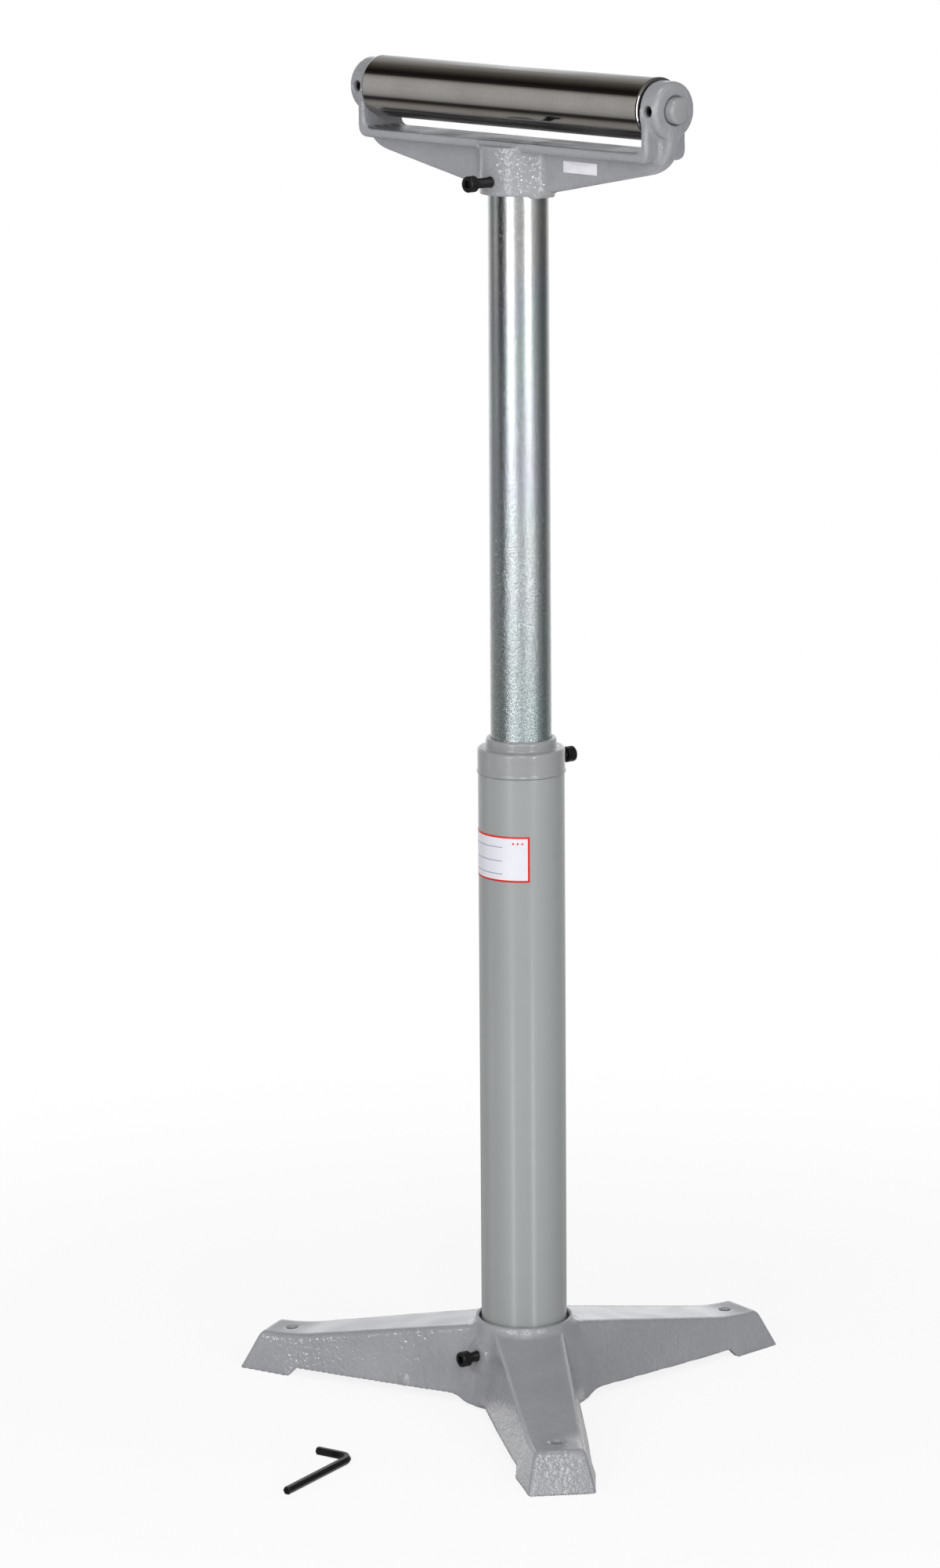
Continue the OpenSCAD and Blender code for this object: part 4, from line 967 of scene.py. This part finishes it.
# Hex key. A bent bar of hexagon steel in black oxide that fits the clamp screws, left on the floor. It lies
# on one of its flats, and its ends are chamfered.
KEY_AF, KEY_LONG, KEY_SHORT, KEY_BEND, KEY_CORNER, KEY_TURN = 6.0, 90.0, 32.0, 9.0, (21.4, -207.7), -75.7
KEY_CORNER_SHARE, KEY_CHAMFER, KEY_END_SHARE = 1.115, 0.6, 0.78
KEY_COLUMNS, KEY_RUN, KEY_BEND_STEPS = 48, 12, 19


def hex_bar():
    """Hexagon with rounded corners carried along a line, a quarter circle and a line, with chamfered ends."""
    theta = np.linspace(0, 2 * math.pi, KEY_COLUMNS, endpoint=False)
    flat_side = KEY_AF / 2 / np.cos(theta % (math.pi / 3) - math.pi / 6)
    section = np.minimum(flat_side, KEY_AF / 2 * KEY_CORNER_SHARE)
    bend = np.linspace(0, math.pi / 2, KEY_BEND_STEPS)
    run = np.linspace(0, 1, KEY_RUN)
    path = np.concatenate([
        np.stack([KEY_LONG - (KEY_LONG - KEY_BEND) * run, 0 * run], 1)[:-1],
        np.stack([KEY_BEND * (1 - np.sin(bend)), -KEY_BEND * (1 - np.cos(bend))], 1),
        np.stack([0 * run, -KEY_BEND - (KEY_SHORT - KEY_BEND) * run], 1)[1:]])
    heading = np.concatenate([np.tile([[-1.0, 0.0]], (KEY_RUN - 1, 1)),
                              np.stack([-np.cos(bend), -np.sin(bend)], 1),
                              np.tile([[0.0, -1.0]], (KEY_RUN - 1, 1))])
    rims = [(0.0, 0.0), (0.0, KEY_END_SHARE), (KEY_CHAMFER, 1.0)]
    stations = ([(path[0], heading[0], s, k) for s, k in rims]
                + [(p, h, 0.0, 1.0) for p, h in zip(path[1:-1], heading[1:-1])]
                + [(path[-1], heading[-1], -s, k) for s, k in rims[::-1]])
    centre = np.array([p + h * s for p, h, s, _ in stations])
    way = np.array([h for _, h, _, _ in stations])
    size = np.array([k for *_, k in stations])[:, None]
    lateral = np.stack([-way[:, 1], way[:, 0]], 1)
    off = size * section[None]
    flat_xy = centre[:, None] + (off * np.cos(theta))[..., None] * lateral[:, None]
    rows = np.concatenate([flat_xy, (KEY_AF / 2 + off * np.sin(theta))[..., None]], 2)
    return ring_grid(rows)


points, faces = hex_bar()
t = math.radians(KEY_TURN)
points = points @ np.array([[math.cos(t), math.sin(t), 0], [-math.sin(t), math.cos(t), 0], [0, 0, 1]])
crisp(piece("key", points + (*KEY_CORNER, 0), faces, "base", black_oxide, "hex_key"), 20)
